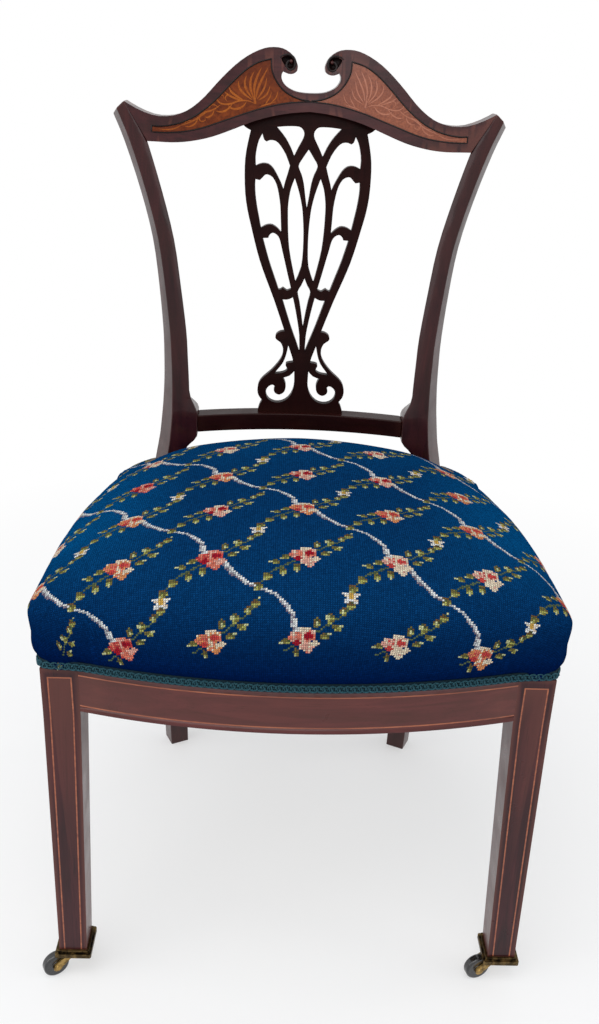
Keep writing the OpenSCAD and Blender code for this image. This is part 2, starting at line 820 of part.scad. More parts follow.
module tack(r, head_r, through) {
    cylinder(h = through + 7, r = r, $fn = 24);
    if (head_r > 0) translate([0, 0, -0.8]) cylinder(h = 0.8, r = head_r, $fn = 24);
}

module webbing_tacks() {
    color([0.20, 0.21, 0.24]) placed() tack_set(tack_r, 3);
}

spring_spots = [[-88, 78], [88, 78], [0, 166], [-88, 254], [88, 254]];
spring_turns = 5;
spring_steps = 8;

// A point on the wire of a spring that is waisted like an hourglass
function spring_point(t) =
    let (
        a = 360 * spring_turns * t,
        rise = smooth_step((t - 0.08) / 0.84),
        r = spring_r - wire_d / 2 - 0.38 * spring_r * sin(180 * t)
    )
    [r * cos(a), r * sin(a), rail_low + wire_d / 2 + (seat_top - rail_low - wire_d) * rise];

function spring_ring(i, n) =
    let (
        t = i / n,
        p = spring_point(t),
        a = 360 * spring_turns * t,
        out = [cos(a), sin(a), 0]
    )
    [for (k = [0 : 5]) p + out * cos(60 * k) * wire_d / 2 + [0, 0, sin(60 * k) * wire_d / 2]];

spring_path = [for (i = [0 : spring_turns * spring_steps]) spring_point(i / (spring_turns * spring_steps))];
spring_gap = min([for (i = [0 : len(spring_path) - 1], j = [i + spring_steps / 2 : len(spring_path) - 1])
    norm(spring_path[i] - spring_path[j]) - wire_d]);
echo(str("Least gap between the turns of a seat spring: ", spring_gap, " mm"));

module seat_springs() {
    n = spring_turns * spring_steps;
    rings = [for (i = [0 : n]) spring_ring(i, n)];
    color([0.35, 0.33, 0.31]) placed() for (p = spring_spots) translate([p[0], p[1], 0]) loft(rings);
}

module hessian() {
    color([0.68, 0.57, 0.38]) placed() translate([0, 0, seat_top])
        linear_extrude(sheet_t) polygon(plan_points(0, rebate + 1));
}

// Upholstery plan: each point has its place, its outward normal and its share of the bulge

corner_r = 10;
post_gap = 1;

function block_point(i, j) = [
    rear_leg_x + cos(post_turn) * i * (rear_leg_w / 2 + post_gap) + sin(post_turn) * j * (rear_leg_d / 2 + post_gap),
    rear_y - sin(post_turn) * i * (rear_leg_w / 2 + post_gap) + cos(post_turn) * j * (rear_leg_d / 2 + post_gap)
];

function inner_side_x(y) =
    block_point(-1, -1)[0] + (y - block_point(-1, -1)[1]) * tan(post_turn);

side_end = 12;       // how far in front of the post's outer back the side of the cover ends

function half_plan() = concat(
    [for (k = [0 : 6]) [leg_in * k / 6, front_arc_y(leg_in * k / 6), 1]],
    [for (a = [-90, -60, -30, 0])
        [seat_w / 2 - corner_r + corner_r * cos(a), corner_r + corner_r * sin(a), 1]],
    [for (k = [0 : 7]) let (y = side_start + (block_point(1, 0)[1] - side_end - side_start) * k / 7)
        [half_w(y), y, 1]],
    [
        [half_w(block_point(1, 0)[1]) - 4, block_point(1, 0)[1] - 4, 0.5],
        [block_point(1, -0.3)[0], block_point(1, -0.3)[1], 0],
        [block_point(1, -1)[0], block_point(1, -1)[1], 0],
        [block_point(-1, -1)[0], block_point(-1, -1)[1], 0],
        [inner_side_x(seat_d - 6), seat_d - 6, 0],
        [inner_side_x(seat_d - 6) - 6, seat_d, 0.4],
        [85, seat_d, 0.5], [42, seat_d, 0.5], [0, seat_d, 0.5]
    ]
);

function whole_plan() =
    let (h = half_plan())
    concat(h, [for (i = [len(h) - 2 : -1 : 1]) [-h[i][0], h[i][1], h[i][2]]]);

function unit(v) = v / norm(v);

function plan_normals(p) =
    let (n = len(p))
    [for (i = [0 : n - 1])
        let (d = unit([
            p[(i + 1) % n][0] - p[(i + n - 1) % n][0],
            p[(i + 1) % n][1] - p[(i + n - 1) % n][1]
        ]))
        [d[1], -d[0]]];

function plan_points(out, inset = 0, shrink = 1) =
    let (p = whole_plan(), m = plan_normals(p), c = [0, seat_d * 0.45])
    [for (i = [0 : len(p) - 1])
        c + ([p[i][0], p[i][1]] + m[i] * (out * p[i][2] - inset) - c) * shrink];

// Share of the bulge, shrink towards the middle and share of the crown's height, ring by ring
dome = [
    [0.09, 1, 0], [0.26, 1, 0.095], [0.74, 1, 0.19], [1, 1, 0.32], [0.89, 0.985, 0.47],
    [0.63, 0.955, 0.62], [0.34, 0.905, 0.765], [0.11, 0.82, 0.875], [0, 0.68, 0.95], [0, 0.45, 0.985]
];

// The upholstery's outside moved in by inset, as rings from its foot to its crown
function dome_rings(inset) = [
    for (s = dome) let (z = rail_top + (crown - inset) * s[2])
        reversed([for (q = plan_points(bulge * s[0], inset, s[1])) [q[0], q[1], z]])
];

function dome_top(inset) = [0, seat_d * 0.45, rail_top + crown - inset];

function level_ring(inset, z) = reversed([for (q = plan_points(0, inset)) [q[0], q[1], z]]);

// Faces of n-sided rings that end in a fan round one more point
function dome_faces(rings, n) = concat(
    ring_faces(rings, n, true),
    [for (j = [0 : n - 1]) [(rings - 1) * n + j, (rings - 1) * n + (j + 1) % n, rings * n]]
);

// Rings that start in a flat face and end in a fan round the point top
module domed(rings, top) {
    n = len(rings[0]);
    polyhedron(
        concat([for (r = rings) each r], [top]),
        concat(dome_faces(len(rings), n), [[for (j = [n - 1 : -1 : 0]) j]]),
        10
    );
}

// The space between two domes of as many rings, open at the foot
module shell(outer, outer_top, inner, inner_top) {
    n = len(outer[0]);
    faces = dome_faces(len(outer), n);
    k = len(outer) * n + 1;
    polyhedron(
        concat([for (r = outer) each r], [outer_top], [for (r = inner) each r], [inner_top]),
        concat(
            faces,
            [for (f = faces) [k + f[2], k + f[1], k + f[0]]],
            [for (j = [0 : n - 1]) each [[k + j, k + (j + 1) % n, j], [k + (j + 1) % n, (j + 1) % n, j]]]
        ),
        10
    );
}

module stuffing() {
    color([0.35, 0.27, 0.18]) placed() domed(
        concat(
            [level_ring(rebate, seat_top + sheet_t), level_ring(rebate, rail_top)],
            dome_rings(cover_t + soft_gap)
        ),
        dome_top(cover_t + soft_gap)
    );
}

module seat_cover() {
    color([0.07, 0.20, 0.38]) placed()
        shell(dome_rings(0), dome_top(0), dome_rings(cover_t), dome_top(cover_t));
}

// Braid over the cover's lower edge, between the plan points first and last
module braid(first, last) {
    n = len(whole_plan());
    foot = bulge * dome[0][0];
    head = bulge * dome[1][0];
    in_low = plan_points(foot, -soft_gap);
    out_low = plan_points(foot, -soft_gap - gimp_t);
    in_top = plan_points(head, -soft_gap);
    out_top = plan_points(head, -soft_gap - gimp_t);
    loft([for (i = [first : last]) let (j = (i + n) % n) [
        [in_low[j][0], in_low[j][1], rail_top],
        [out_low[j][0], out_low[j][1], rail_top],
        [out_top[j][0], out_top[j][1], rail_top + gimp_h],
        [in_top[j][0], in_top[j][1], rail_top + gimp_h]
    ]]);
}

module gimp() {
    half = len(half_plan());
    color([0.05, 0.16, 0.20]) placed() {
        braid(-18, 18);
        braid(half - 4, half + 2);
    }
}

// Castors: the children are placed on one castor's swivel axis at floor level

module castor_at(side) {
    translate([side == "left" ? -foot_x : foot_x, foot_y, 0]) children();
}

module round_rect(w, d, r) {
    square([w - 2 * r, d], center = true);
    square([w, d - 2 * r], center = true);
    for (x = [-1, 1], y = [-1, 1]) translate([x * (w / 2 - r), y * (d / 2 - r)]) circle(r);
}

module castor_screw_set(r, head_r) {
    for (x = [-1, 1], y = [-1, 1])
        translate([x * (leg_foot_w / 2 - 3.5), y * (leg_foot_d / 2 - 3.5), plate_z]) {
            cylinder(h = plate_t + 14, r = r);
            if (head_r > 0) cylinder(h = head_r - r, r1 = head_r, r2 = r);
        }
}

module castor_plate(side) {
    w = leg_foot_w + 2 * plate_lip;
    d = leg_foot_d + 2 * plate_lip;
    color([0.60, 0.45, 0.20]) placed() castor_at(side) difference() {
        translate([0, 0, plate_z]) union() {
            linear_extrude(plate_t * 0.6) round_rect(w, d, 2);
            linear_extrude(plate_t) round_rect(w - plate_lip, d - plate_lip, 2);
        }
        translate([0, 0, plate_z - eps]) cylinder(h = plate_t + 2 * eps, r = pin_r);
        castor_screw_set(screw_r, screw_head_r);
    }
}

module castor_screws(side) {
    color([0.55, 0.42, 0.20]) placed() castor_at(side) castor_screw_set(screw_r, screw_head_r);
}

module castor_pin(side) {
    crown_low = plate_z - crown_gap - crown_t;
    color([0.50, 0.38, 0.18]) placed() castor_at(side) union() {
        translate([0, 0, crown_low - 0.2]) cylinder(h = foot_z - crown_low + 0.2, r = pin_r);
        translate([0, 0, crown_low - 2]) cylinder(h = 1.8, r = 6);
    }
}

// The fork is drawn with its wheel trailing along +X
module trailing(side) {
    castor_at(side) rotate(trail_turns[side == "left" ? 0 : 1]) children();
}

module castor_fork(side) {
    top = plate_z - crown_gap;
    low = top - crown_t;
    in_face = hub_w / 2 + 0.2;
    color([0.66, 0.50, 0.22]) placed() trailing(side) difference() {
        union() {
            translate([0, 0, low]) cylinder(h = crown_t, r = 9);
            for (s = [-1, 1]) translate([0, s * (in_face + arm_t / 2) + arm_t / 2, 0])
                rotate([90, 0, 0]) linear_extrude(arm_t) union() {
                    polygon([
                        [-4.5, low], [4.6, low], [trail - 4.4, wheel_r - 1.6], [trail + 3, wheel_r + 3.6],
                        [trail - 4, wheel_r + 8.2], [5.5, top], [-4.5, top]
                    ]);
                    translate([trail, wheel_r]) circle(4.6);
                }
        }
        translate([0, 0, low - eps]) cylinder(h = crown_t + 2 * eps, r = pin_r + run);
        translate([trail, 0, wheel_r]) rotate([90, 0, 0]) cylinder(h = 40, r = axle_r, center = true);
        // Room for the wheel inside the crown
        translate([trail, 0, wheel_r]) rotate([90, 0, 0])
            cylinder(h = 2 * in_face, r = wheel_r + 0.6, center = true);
    }
}

module castor_axle(side) {
    length = hub_w + 0.4 + 2 * arm_t;
    color([0.55, 0.42, 0.20]) placed() trailing(side) translate([trail, 0, wheel_r]) rotate([90, 0, 0]) {
        cylinder(h = length, r = axle_r, center = true);
        for (s = [0, 1]) mirror([0, 0, s]) translate([0, 0, length / 2]) cylinder(h = 1, r1 = 3, r2 = 2.2);
    }
}

module castor_wheel(side) {
    color([0.06, 0.06, 0.07]) placed() trailing(side) translate([trail, 0, wheel_r]) rotate([90, 0, 0])
        rotate_extrude() union() {
            bore = axle_r + run;
            // Barrel tread: a flat rim with quarter round shoulders
            translate([bore, -hub_w / 2]) square([4, hub_w]);
            translate([bore, -wheel_w / 2]) square([wheel_r - 2.4 - bore, wheel_w]);
            translate([bore, -wheel_w / 2 + 2.4]) square([wheel_r - bore, wheel_w - 4.8]);
            for (s = [-1, 1]) translate([wheel_r - 2.4, s * (wheel_w / 2 - 2.4)]) circle(2.4);
        }
}

crest_rail();
crest_panel("left");  // crest_panel_left
crest_panel("right");  // crest_panel_right
splat();
cross_rail();
rear_leg("left");  // rear_leg_left
rear_leg("right");  // rear_leg_right
front_leg("left");  // front_leg_left
front_leg("right");  // front_leg_right
front_rail();
side_rail("left");  // side_rail_left
side_rail("right");  // side_rail_right
rear_rail();
front_rail_stringing();
leg_stringing("left");  // leg_stringing_left
leg_stringing("right");  // leg_stringing_right
front_block("left");  // front_block_left
front_block("right");  // front_block_right
rear_block("left");  // rear_block_left
rear_block("right");  // rear_block_right
block_screws();
webbing_long();
webbing_cross();
webbing_tacks();
seat_springs();
hessian();
stuffing();
seat_cover();
gimp();
castor_plate("left");  // castor_plate_left
castor_screws("left");  // castor_screws_left
castor_pin("left");  // castor_pin_left
castor_fork("left");  // castor_fork_left
castor_axle("left");  // castor_axle_left
castor_wheel("left");  // castor_wheel_left
castor_plate("right");  // castor_plate_right
castor_screws("right");  // castor_screws_right
castor_pin("right");  // castor_pin_right
castor_fork("right");  // castor_fork_right
castor_axle("right");  // castor_axle_right
castor_wheel("right");  // castor_wheel_right
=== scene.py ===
# Looks for the side chair with the swan neck crest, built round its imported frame
import bpy
import bmesh
import math
import numpy as np
from mathutils import Matrix, Vector
from mathutils.bvhtree import BVHTree


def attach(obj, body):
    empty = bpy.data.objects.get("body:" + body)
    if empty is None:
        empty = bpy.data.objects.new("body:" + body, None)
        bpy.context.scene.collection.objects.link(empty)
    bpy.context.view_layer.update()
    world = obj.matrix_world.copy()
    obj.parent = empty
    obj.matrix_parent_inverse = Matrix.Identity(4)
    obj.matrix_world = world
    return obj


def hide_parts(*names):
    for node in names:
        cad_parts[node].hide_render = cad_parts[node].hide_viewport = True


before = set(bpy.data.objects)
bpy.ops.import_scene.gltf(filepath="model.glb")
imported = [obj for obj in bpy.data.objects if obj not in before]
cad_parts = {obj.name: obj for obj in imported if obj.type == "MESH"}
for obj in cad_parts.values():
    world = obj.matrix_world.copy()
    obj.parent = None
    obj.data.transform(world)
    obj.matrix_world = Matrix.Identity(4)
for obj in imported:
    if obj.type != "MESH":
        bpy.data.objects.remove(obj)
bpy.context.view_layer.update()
print("frame loaded")

mm = 0.001
midY = 207.386      # the part's drawing counts Y from the front legs' faces, this far in front of the origin
railTop = 383
railLow = 337


def drawn(x, y, z):
    # Millimetres of the part's drawing to metres of the frame
    return Vector((x * mm, (y - midY) * mm, z * mm))


def clamp(value):
    return min(1.0, max(0.0, value))


def pickOnly(*pieces):
    bpy.ops.object.select_all(action="DESELECT")
    for piece in pieces:
        piece.select_set(True)
    bpy.context.view_layer.objects.active = pieces[0]


def applyModifiers(piece):
    pickOnly(piece)
    for modifier in list(piece.modifiers):
        bpy.ops.object.modifier_apply(modifier=modifier.name)


def editWhole(piece, work):
    # Runs mesh operators on a whole piece
    pickOnly(piece)
    bpy.ops.object.mode_set(mode="EDIT")
    bpy.ops.mesh.select_all(action="SELECT")
    work()
    bpy.ops.object.mode_set(mode="OBJECT")


def turnOutwards():
    bpy.ops.mesh.select_all(action="SELECT")
    bpy.ops.mesh.normals_make_consistent(inside=False)


def meshPiece(name, points, faces, smooth=True):
    mesh = bpy.data.meshes.new(name)
    mesh.from_pydata([tuple(p) for p in points], [], [tuple(f) for f in faces])
    mesh.validate()
    piece = bpy.data.objects.new(name, mesh)
    bpy.context.scene.collection.objects.link(piece)
    for polygon in mesh.polygons:
        polygon.use_smooth = smooth
    return piece


def gridQuads(rows, columns, keep=None):
    # Quads between rows of points; keep tells which of the points are there
    quads = []
    for j in range(rows - 1):
        for i in range(columns - 1):
            a = j * columns + i
            quad = (a, a + 1, a + columns + 1, a + columns)
            if keep is None or all(keep[c] for c in quad):
                quads.append(quad)
    return quads


def canvasPiece(name, placed, quads):
    # A piece of the points that its quads use, placed in the part's drawing
    used = sorted({c for quad in quads for c in quad})
    renumber = {c: k for k, c in enumerate(used)}
    points = [drawn(*placed[c]) for c in used]
    return meshPiece(name, points, [tuple(renumber[c] for c in quad) for quad in quads])


def loft(name, rings, closed=False, smooth=True):
    # A skin over rings of points, with ends, or run back into its first ring
    n, points = len(rings[0]), [point for ring in rings for point in ring]
    faces = []
    for k in range(len(rings) if closed else len(rings) - 1):
        for j in range(n):
            a, b = k * n + j, k * n + (j + 1) % n
            faces.append((a, b, (b + n) % len(points), (a + n) % len(points)))
    if not closed:
        faces += [tuple(range(n))[::-1], tuple(range(len(points) - n, len(points)))]
    return meshPiece(name, points, faces, smooth)


def prism(name, line, low, high):
    return loft(name, [[drawn(x, y, z) for x, y in line] for z in (low, high)], smooth=False)


def tube(name, path, radii, sidesRound=6, closed=False, up=Vector((0, -1, 0.2))):
    # A round strand along a path of points in metres
    count, turns = len(path), [2 * math.pi * j / sidesRound for j in range(sidesRound)]
    rings = []
    for k, spot in enumerate(path):
        ahead = path[(k + 1) % count] if closed or k + 1 < count else spot
        behind = path[k - 1] if closed or k else spot
        way = (ahead - behind).normalized()
        side = way.cross(up).normalized()
        top = side.cross(way).normalized()
        radius = radii[k] if isinstance(radii, list) else radii
        rings.append([spot + side * math.cos(turn) * radius + top * math.sin(turn) * radius for turn in turns])
    return loft(name, rings, closed)


def thicken(piece, thickness):
    solid = piece.modifiers.new("thickness", "SOLIDIFY")
    solid.thickness = thickness * mm
    solid.offset = 0
    applyModifiers(piece)


def cutBy(piece, cutter, materials="INDEX"):
    cut = piece.modifiers.new("room", "BOOLEAN")
    cut.object = cutter
    cut.solver = "EXACT"
    cut.material_mode = materials
    pickOnly(piece)
    bpy.ops.object.modifier_apply(modifier=cut.name)
    bpy.data.objects.remove(cutter)


def joinPieces(name, pieces):
    pickOnly(*pieces)
    bpy.ops.object.join()
    joined = bpy.context.active_object
    joined.name = name
    return joined


def fit(piece, body, material, slotName, *nodes):
    piece.data.materials.clear()
    piece.data.materials.append(material)
    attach(piece, body)
    if nodes:
        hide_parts(*nodes)
    return piece


def dress(node, material):
    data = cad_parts[node].data
    data.materials.clear()
    data.materials.append(material)


# Materials

def feed(tree, node, inputs):
    # Each socket gets a value or another node's output
    for key, value in inputs.items():
        if isinstance(value, bpy.types.NodeSocket):
            tree.links.new(value, node.inputs[key])
        else:
            node.inputs[key].default_value = value


def freshMaterial(name):
    material = bpy.data.materials.new(name)
    material.use_nodes = True
    tree = material.node_tree
    tree.nodes.clear()
    output = tree.nodes.new("ShaderNodeOutputMaterial")
    shader = tree.nodes.new("ShaderNodeBsdfPrincipled")
    tree.links.new(shader.outputs[0], output.inputs[0])
    return material, tree, shader


def addNode(tree, kind, inputs=None, **settings):
    node = tree.nodes.new(kind)
    for key, value in settings.items():
        setattr(node, key, value)
    feed(tree, node, inputs or {})
    return node


def rgba(colour):
    # A number is a grey, and another node's output stays as it is
    if isinstance(colour, bpy.types.NodeSocket):
        return colour
    return (*colour, 1) if isinstance(colour, tuple) else (colour, colour, colour, 1)


def scaled(colour, by):
    return tuple(c * by for c in colour)


def ramp(tree, factor, *stops):
    node = addNode(tree, "ShaderNodeValToRGB", {0: factor})
    elements = node.color_ramp.elements
    while len(elements) < len(stops):
        elements.new(0.5)
    for element, (place, colour) in zip(elements, stops):
        element.position = place
        element.color = rgba(colour)
    return node.outputs[0]


def mixed(tree, factor, a, b, blend="MIX"):
    inputs = {0: factor, 6: rgba(a), 7: rgba(b)}
    return addNode(tree, "ShaderNodeMix", inputs, data_type="RGBA", blend_type=blend).outputs[2]


def mathNode(tree, operation, a, b=0.0):
    return addNode(tree, "ShaderNodeMath", {0: a, 1: b}, operation=operation).outputs[0]


def objectPlace(tree, scale=(1, 1, 1)):
    place = addNode(tree, "ShaderNodeTexCoord").outputs["Object"]
    return addNode(tree, "ShaderNodeMapping", {"Vector": place, "Scale": scale}).outputs[0]


def alongGrain(tree, axis, lengthways, across):
    return objectPlace(tree, [lengthways if a == axis else across for a in "XYZ"])


def noise(tree, vector, scale, detail=3.0, roughness=0.5, distortion=0.0):
    return addNode(tree, "ShaderNodeTexNoise", {
        "Vector": vector, "Scale": scale, "Detail": detail, "Roughness": roughness, "Distortion": distortion,
    }).outputs[0]


def bump(tree, height, strength, distance, normal=None):
    inputs = {"Height": height, "Strength": strength, "Distance": distance}
    if normal:
        inputs["Normal"] = normal
    return addNode(tree, "ShaderNodeBump", inputs).outputs[0]


def pointiness(tree):
    return addNode(tree, "ShaderNodeNewGeometry").outputs["Pointiness"]


mahogany = {
    "deep": (0.020, 0.0035, 0.0048),
    "body": (0.054, 0.0088, 0.0125),
    "warm": (0.098, 0.0190, 0.0200),
    # The edge colour below is rubbed polish and partly a painted highlight
    "wornHighlight": (0.170, 0.0520, 0.0360),
    # The hollow colour below is painted shade
    "creviceShade": (0.004, 0.002, 0.002),
    "specular": 0.22,
    "coat": 0.18,
    "coatRoughness": 0.12,
}


def mahoganyMaterial(name, along, lift=1.0, shine=1.0):
    # along is the axis that the grain follows, lift scales the wood's colour as painted light and shade for
    # each part, and shine its polish
    material, tree, shader = freshMaterial(name)
    place = objectPlace(tree)
    figure = noise(tree, alongGrain(tree, along, 6, 80), 1.0, 4.0, 0.55, 1.2)
    broad = noise(tree, place, 9.0, 2.0)
    pores = noise(tree, alongGrain(tree, along, 26, 1000), 1.0, 2.0, 0.6)
    smudges = noise(tree, place, 26.0, 3.0, 0.6)
    edges = pointiness(tree)
    # lift scales these tones as painted light and shade
    deep, body, warm = (scaled(mahogany[tone], lift) for tone in ("deep", "body", "warm"))
    colour = ramp(tree, figure, (0.28, deep), (0.52, body), (0.78, warm))
    colour = mixed(tree, ramp(tree, broad, (0.35, 0), (0.75, 0.5)), colour, deep)
    colour = mixed(tree, ramp(tree, pores, (0.60, 0), (0.72, 0.75)), colour, scaled(deep, 0.5))
    # Sharp edges lighter: rubbed polish, and partly a painted highlight
    wearAndHighlight = ramp(tree, edges, (0.515, 0), (0.60, 0.5))
    colour = mixed(tree, wearAndHighlight, colour, scaled(mahogany["wornHighlight"], min(1, lift + 0.15)))
    # Painted shade: hollows found by pointiness are darkened towards near black
    creviceShade = ramp(tree, edges, (0.40, 0.8), (0.485, 0))
    feed(tree, shader, {
        "Base Color": mixed(tree, creviceShade, colour, mahogany["creviceShade"]),
        "Roughness": ramp(tree, smudges, (0.3, 0.26), (0.75, 0.44)),
        "Specular IOR Level": mahogany["specular"] * shine,
        "Coat Weight": mahogany["coat"] * shine,
        "Coat Roughness": mahogany["coatRoughness"],
        "Normal": bump(tree, pores, 0.10, 0.0004),
    })
    return material


def plainWood(name, light, dark, roughness, coat=0.0):
    material, tree, shader = freshMaterial(name)
    figure = noise(tree, alongGrain(tree, "X", 8, 160), 1.0, 4.0, 0.6, 0.6)
    feed(tree, shader, {
        "Base Color": ramp(tree, figure, (0.3, dark), (0.7, light)),
        "Roughness": ramp(tree, figure, (0.3, roughness + 0.1), (0.7, roughness - 0.05)),
        "Specular IOR Level": 0.3,
        "Coat Weight": coat,
        "Coat Roughness": 0.2,
        "Normal": bump(tree, figure, 0.15, 0.0003),
    })
    return material


def metalMaterial(name, bright, dull, dark, roughness, patina=(0.45, 0.62)):
    # patina gives where the dark blotches begin and where they are full
    material, tree, shader = freshMaterial(name)
    place = objectPlace(tree)
    blotches = noise(tree, place, 160.0, 4.0, 0.65)
    fine = noise(tree, place, 900.0, 3.0, 0.6)
    colour = mixed(tree, fine, dull, bright)
    colour = mixed(tree, ramp(tree, blotches, (patina[0], 0), (patina[1], 1)), colour, dark)
    rubbed = ramp(tree, pointiness(tree), (0.52, 0), (0.62, 0.6))
    feed(tree, shader, {
        "Base Color": mixed(tree, rubbed, colour, bright),
        "Metallic": 1.0,
        "Roughness": ramp(tree, fine, (0.3, roughness - 0.08), (0.7, roughness + 0.14)),
        "Normal": bump(tree, fine, 0.25, 0.0004),
    })
    return material


def veneerMaterial(name, light, dark, speck, scale, shine=1.0):
    material, tree, shader = freshMaterial(name)
    place = objectPlace(tree)
    burr = noise(tree, place, scale, 5.0, 0.65, 1.6)
    broad = noise(tree, place, 22.0, 2.0)
    eyes = addNode(tree, "ShaderNodeTexVoronoi", {"Vector": place, "Scale": scale * 1.3}).outputs["Distance"]
    colour = ramp(tree, burr, (0.32, dark), (0.62, light))
    colour = mixed(tree, ramp(tree, broad, (0.35, 0.55), (0.65, 0)), colour, dark)
    feed(tree, shader, {
        "Base Color": mixed(tree, ramp(tree, eyes, (0.0, 0.55), (0.30, 0)), colour, speck),
        "Roughness": 0.3,
        "Specular IOR Level": 0.3 * shine,
        "Coat Weight": 0.35 * shine,
        "Coat Roughness": 0.12,
        "Normal": bump(tree, burr, 0.08, 0.0003),
    })
    return material


def blackMaterial(name, colour, roughness, coat):
    material, tree, shader = freshMaterial(name)
    scuffs = noise(tree, objectPlace(tree), 420.0, 4.0, 0.7)
    feed(tree, shader, {
        "Base Color": ramp(tree, scuffs, (0.4, colour), (0.8, scaled(colour, 2.2))),
        "Roughness": ramp(tree, scuffs, (0.35, roughness), (0.75, roughness + 0.2)),
        "Specular IOR Level": coat,
        "Coat Weight": coat,
        "Coat Roughness": 0.1,
        "Normal": bump(tree, scuffs, 0.1, 0.0003),
    })
    return material


def juteMaterial(name, light, dark, pitch):
    # Plain weave with the threads' pitch in mm
    material, tree, shader = freshMaterial(name)
    place = objectPlace(tree)
    threads = {"Vector": place, "Scale": math.pi / (10 * pitch * mm), "Distortion": 0.6}
    warp, weft = (addNode(tree, "ShaderNodeTexWave", threads, bands_direction=way).outputs[1] for way in "XY")
    weave = mathNode(tree, "MAXIMUM", warp, weft)
    slubs = noise(tree, place, 240.0, 4.0, 0.7)
    colour = mixed(tree, ramp(tree, slubs, (0.3, 0), (0.7, 1)), dark, light)
    # Painted shade: the gaps between the threads are darkened
    feed(tree, shader, {
        "Base Color": mixed(tree, ramp(tree, weave, (0.15, 0.75), (0.6, 0)), colour, scaled(dark, 0.3)),
        "Roughness": 0.9,
        "Specular IOR Level": 0.15,
        "Normal": bump(tree, weave, 0.7, 0.0005),
    })
    return material


def braidMaterial(name, dark, light, scale):
    material, tree, shader = freshMaterial(name)
    threads = noise(tree, objectPlace(tree), scale, 3.0, 0.7, 0.8)
    feed(tree, shader, {
        "Base Color": ramp(tree, threads, (0.35, dark), (0.68, light)),
        "Roughness": 0.7,
        "Specular IOR Level": 0.2,
        "Normal": bump(tree, threads, 0.5, 0.0004),
    })
    return material


# One mahogany in lit and shaded copies: lift lightens the rails in front as painted light and darkens the
# posts, crest, cross rail and splat at the back as painted shade
polished = {
    "X": mahoganyMaterial("mahogany of the rails in painted light", "X", 1.35),
    "Y": mahoganyMaterial("mahogany of the side rails in painted light", "Y", 1.2),
    "Z": mahoganyMaterial("mahogany of the legs", "Z", 0.9),
    "posts": mahoganyMaterial("mahogany of the posts in painted shade", "Z", 0.55, 0.9),
    "crest": mahoganyMaterial("mahogany of the crest in painted shade", "X", 0.65, 0.9),
    "cross": mahoganyMaterial("mahogany of the cross rail in painted shade", "X", 0.25, 0.3),
    "splat": mahoganyMaterial("mahogany of the splat in painted shade", "Z", 0.16, 0.2),
}
boxwood = plainWood("boxwood stringing", (0.46, 0.135, 0.055), (0.20, 0.045, 0.022), 0.35, 0.4)
beech = plainWood("bare beech", (0.42, 0.27, 0.13), (0.30, 0.18, 0.08), 0.6)
# Near-black wood for the beads, standing in as painted shade in the grooves beside them
grooveShadeBlack = blackMaterial("near-black bead as painted groove shade", (0.006, 0.003, 0.003), 0.25, 0.12)
# Near-black wood for the volute hollows, as painted shade
hollowShadeBlack = blackMaterial("painted shade of the volute hollows", (0.005, 0.002, 0.002), 0.45, 0.04)
wheelBlack = blackMaterial("black wheel", (0.006, 0.006, 0.007), 0.2, 0.5)
# The right panel's veneer and leaves are paler and pinker than the left's, as painted reflection
leftVeneer = veneerMaterial(
    "left veneer", (0.200, 0.040, 0.0070), (0.085, 0.014, 0.0035), (0.050, 0.009, 0.003), 120.0, 0.35)
rightVeneerReflected = veneerMaterial(
    "right veneer with painted reflection", (0.290, 0.085, 0.0400), (0.150, 0.036, 0.0180), (0.100, 0.020, 0.012), 210.0, 0.7)
leafVeneer = veneerMaterial(
    "leaf veneer", (0.400, 0.110, 0.0140), (0.250, 0.055, 0.0070), (0.200, 0.040, 0.006), 260.0, 0.35)
reflectedLeafVeneer = veneerMaterial(
    "leaf veneer with painted reflection", (0.400, 0.135, 0.0700), (0.300, 0.090, 0.0450), (0.220, 0.055, 0.030), 260.0)
agedBrass = metalMaterial("aged brass", (0.50, 0.33, 0.11), (0.26, 0.16, 0.055), (0.030, 0.020, 0.011), 0.36)
# The plates' brass is darker, with more and larger dark blotches
darkBrass = metalMaterial(
    "dark brass of the plates", (0.30, 0.20, 0.075), (0.10, 0.065, 0.030), (0.012, 0.009, 0.007), 0.42, (0.30, 0.55))
plainSteel = metalMaterial("plain steel", (0.35, 0.34, 0.32), (0.22, 0.21, 0.20), (0.06, 0.045, 0.03), 0.42)
bluedIron = metalMaterial("blued tacks", (0.11, 0.12, 0.15), (0.05, 0.055, 0.07), (0.03, 0.02, 0.015), 0.40)
springSteel = metalMaterial("spring wire", (0.30, 0.28, 0.25), (0.16, 0.14, 0.12), (0.05, 0.035, 0.02), 0.45)
jute = juteMaterial("jute webbing", (0.36, 0.26, 0.13), (0.22, 0.15, 0.07), 1.6)
sacking = juteMaterial("hessian", (0.40, 0.29, 0.15), (0.25, 0.17, 0.08), 1.1)
tapeTeal = braidMaterial("gimp tape", (0.001, 0.010, 0.018), (0.004, 0.028, 0.042), 1500)
# The cord's light threads are partly its own lighter teal and partly painted glints
cordTealAndGlints = braidMaterial("gimp cord with painted glints", (0.002, 0.018, 0.032), (0.045, 0.160, 0.200), 1900)
print("materials ready")


# Polished woodwork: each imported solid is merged, its arrises are eased and its faces smoothed

def mergeFaces():
    bpy.ops.mesh.remove_doubles(threshold=0.00002)
    bpy.ops.mesh.dissolve_limited(angle_limit=math.radians(0.3))


def mergedCopy(node, name):
    piece = bpy.data.objects.new(name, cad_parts[node].data.copy())
    bpy.context.scene.collection.objects.link(piece)
    editWhole(piece, mergeFaces)
    return piece


def smoothFaces(piece):
    pickOnly(piece)
    bpy.ops.object.shade_smooth_by_angle(angle=math.radians(38))
    weighted = piece.modifiers.new("flat faces", "WEIGHTED_NORMAL")
    weighted.keep_sharp = True
    weighted.weight = 60
    bpy.ops.object.modifier_apply(modifier=weighted.name)


arrisAngle = 32     # edges sharper than this many degrees are eased


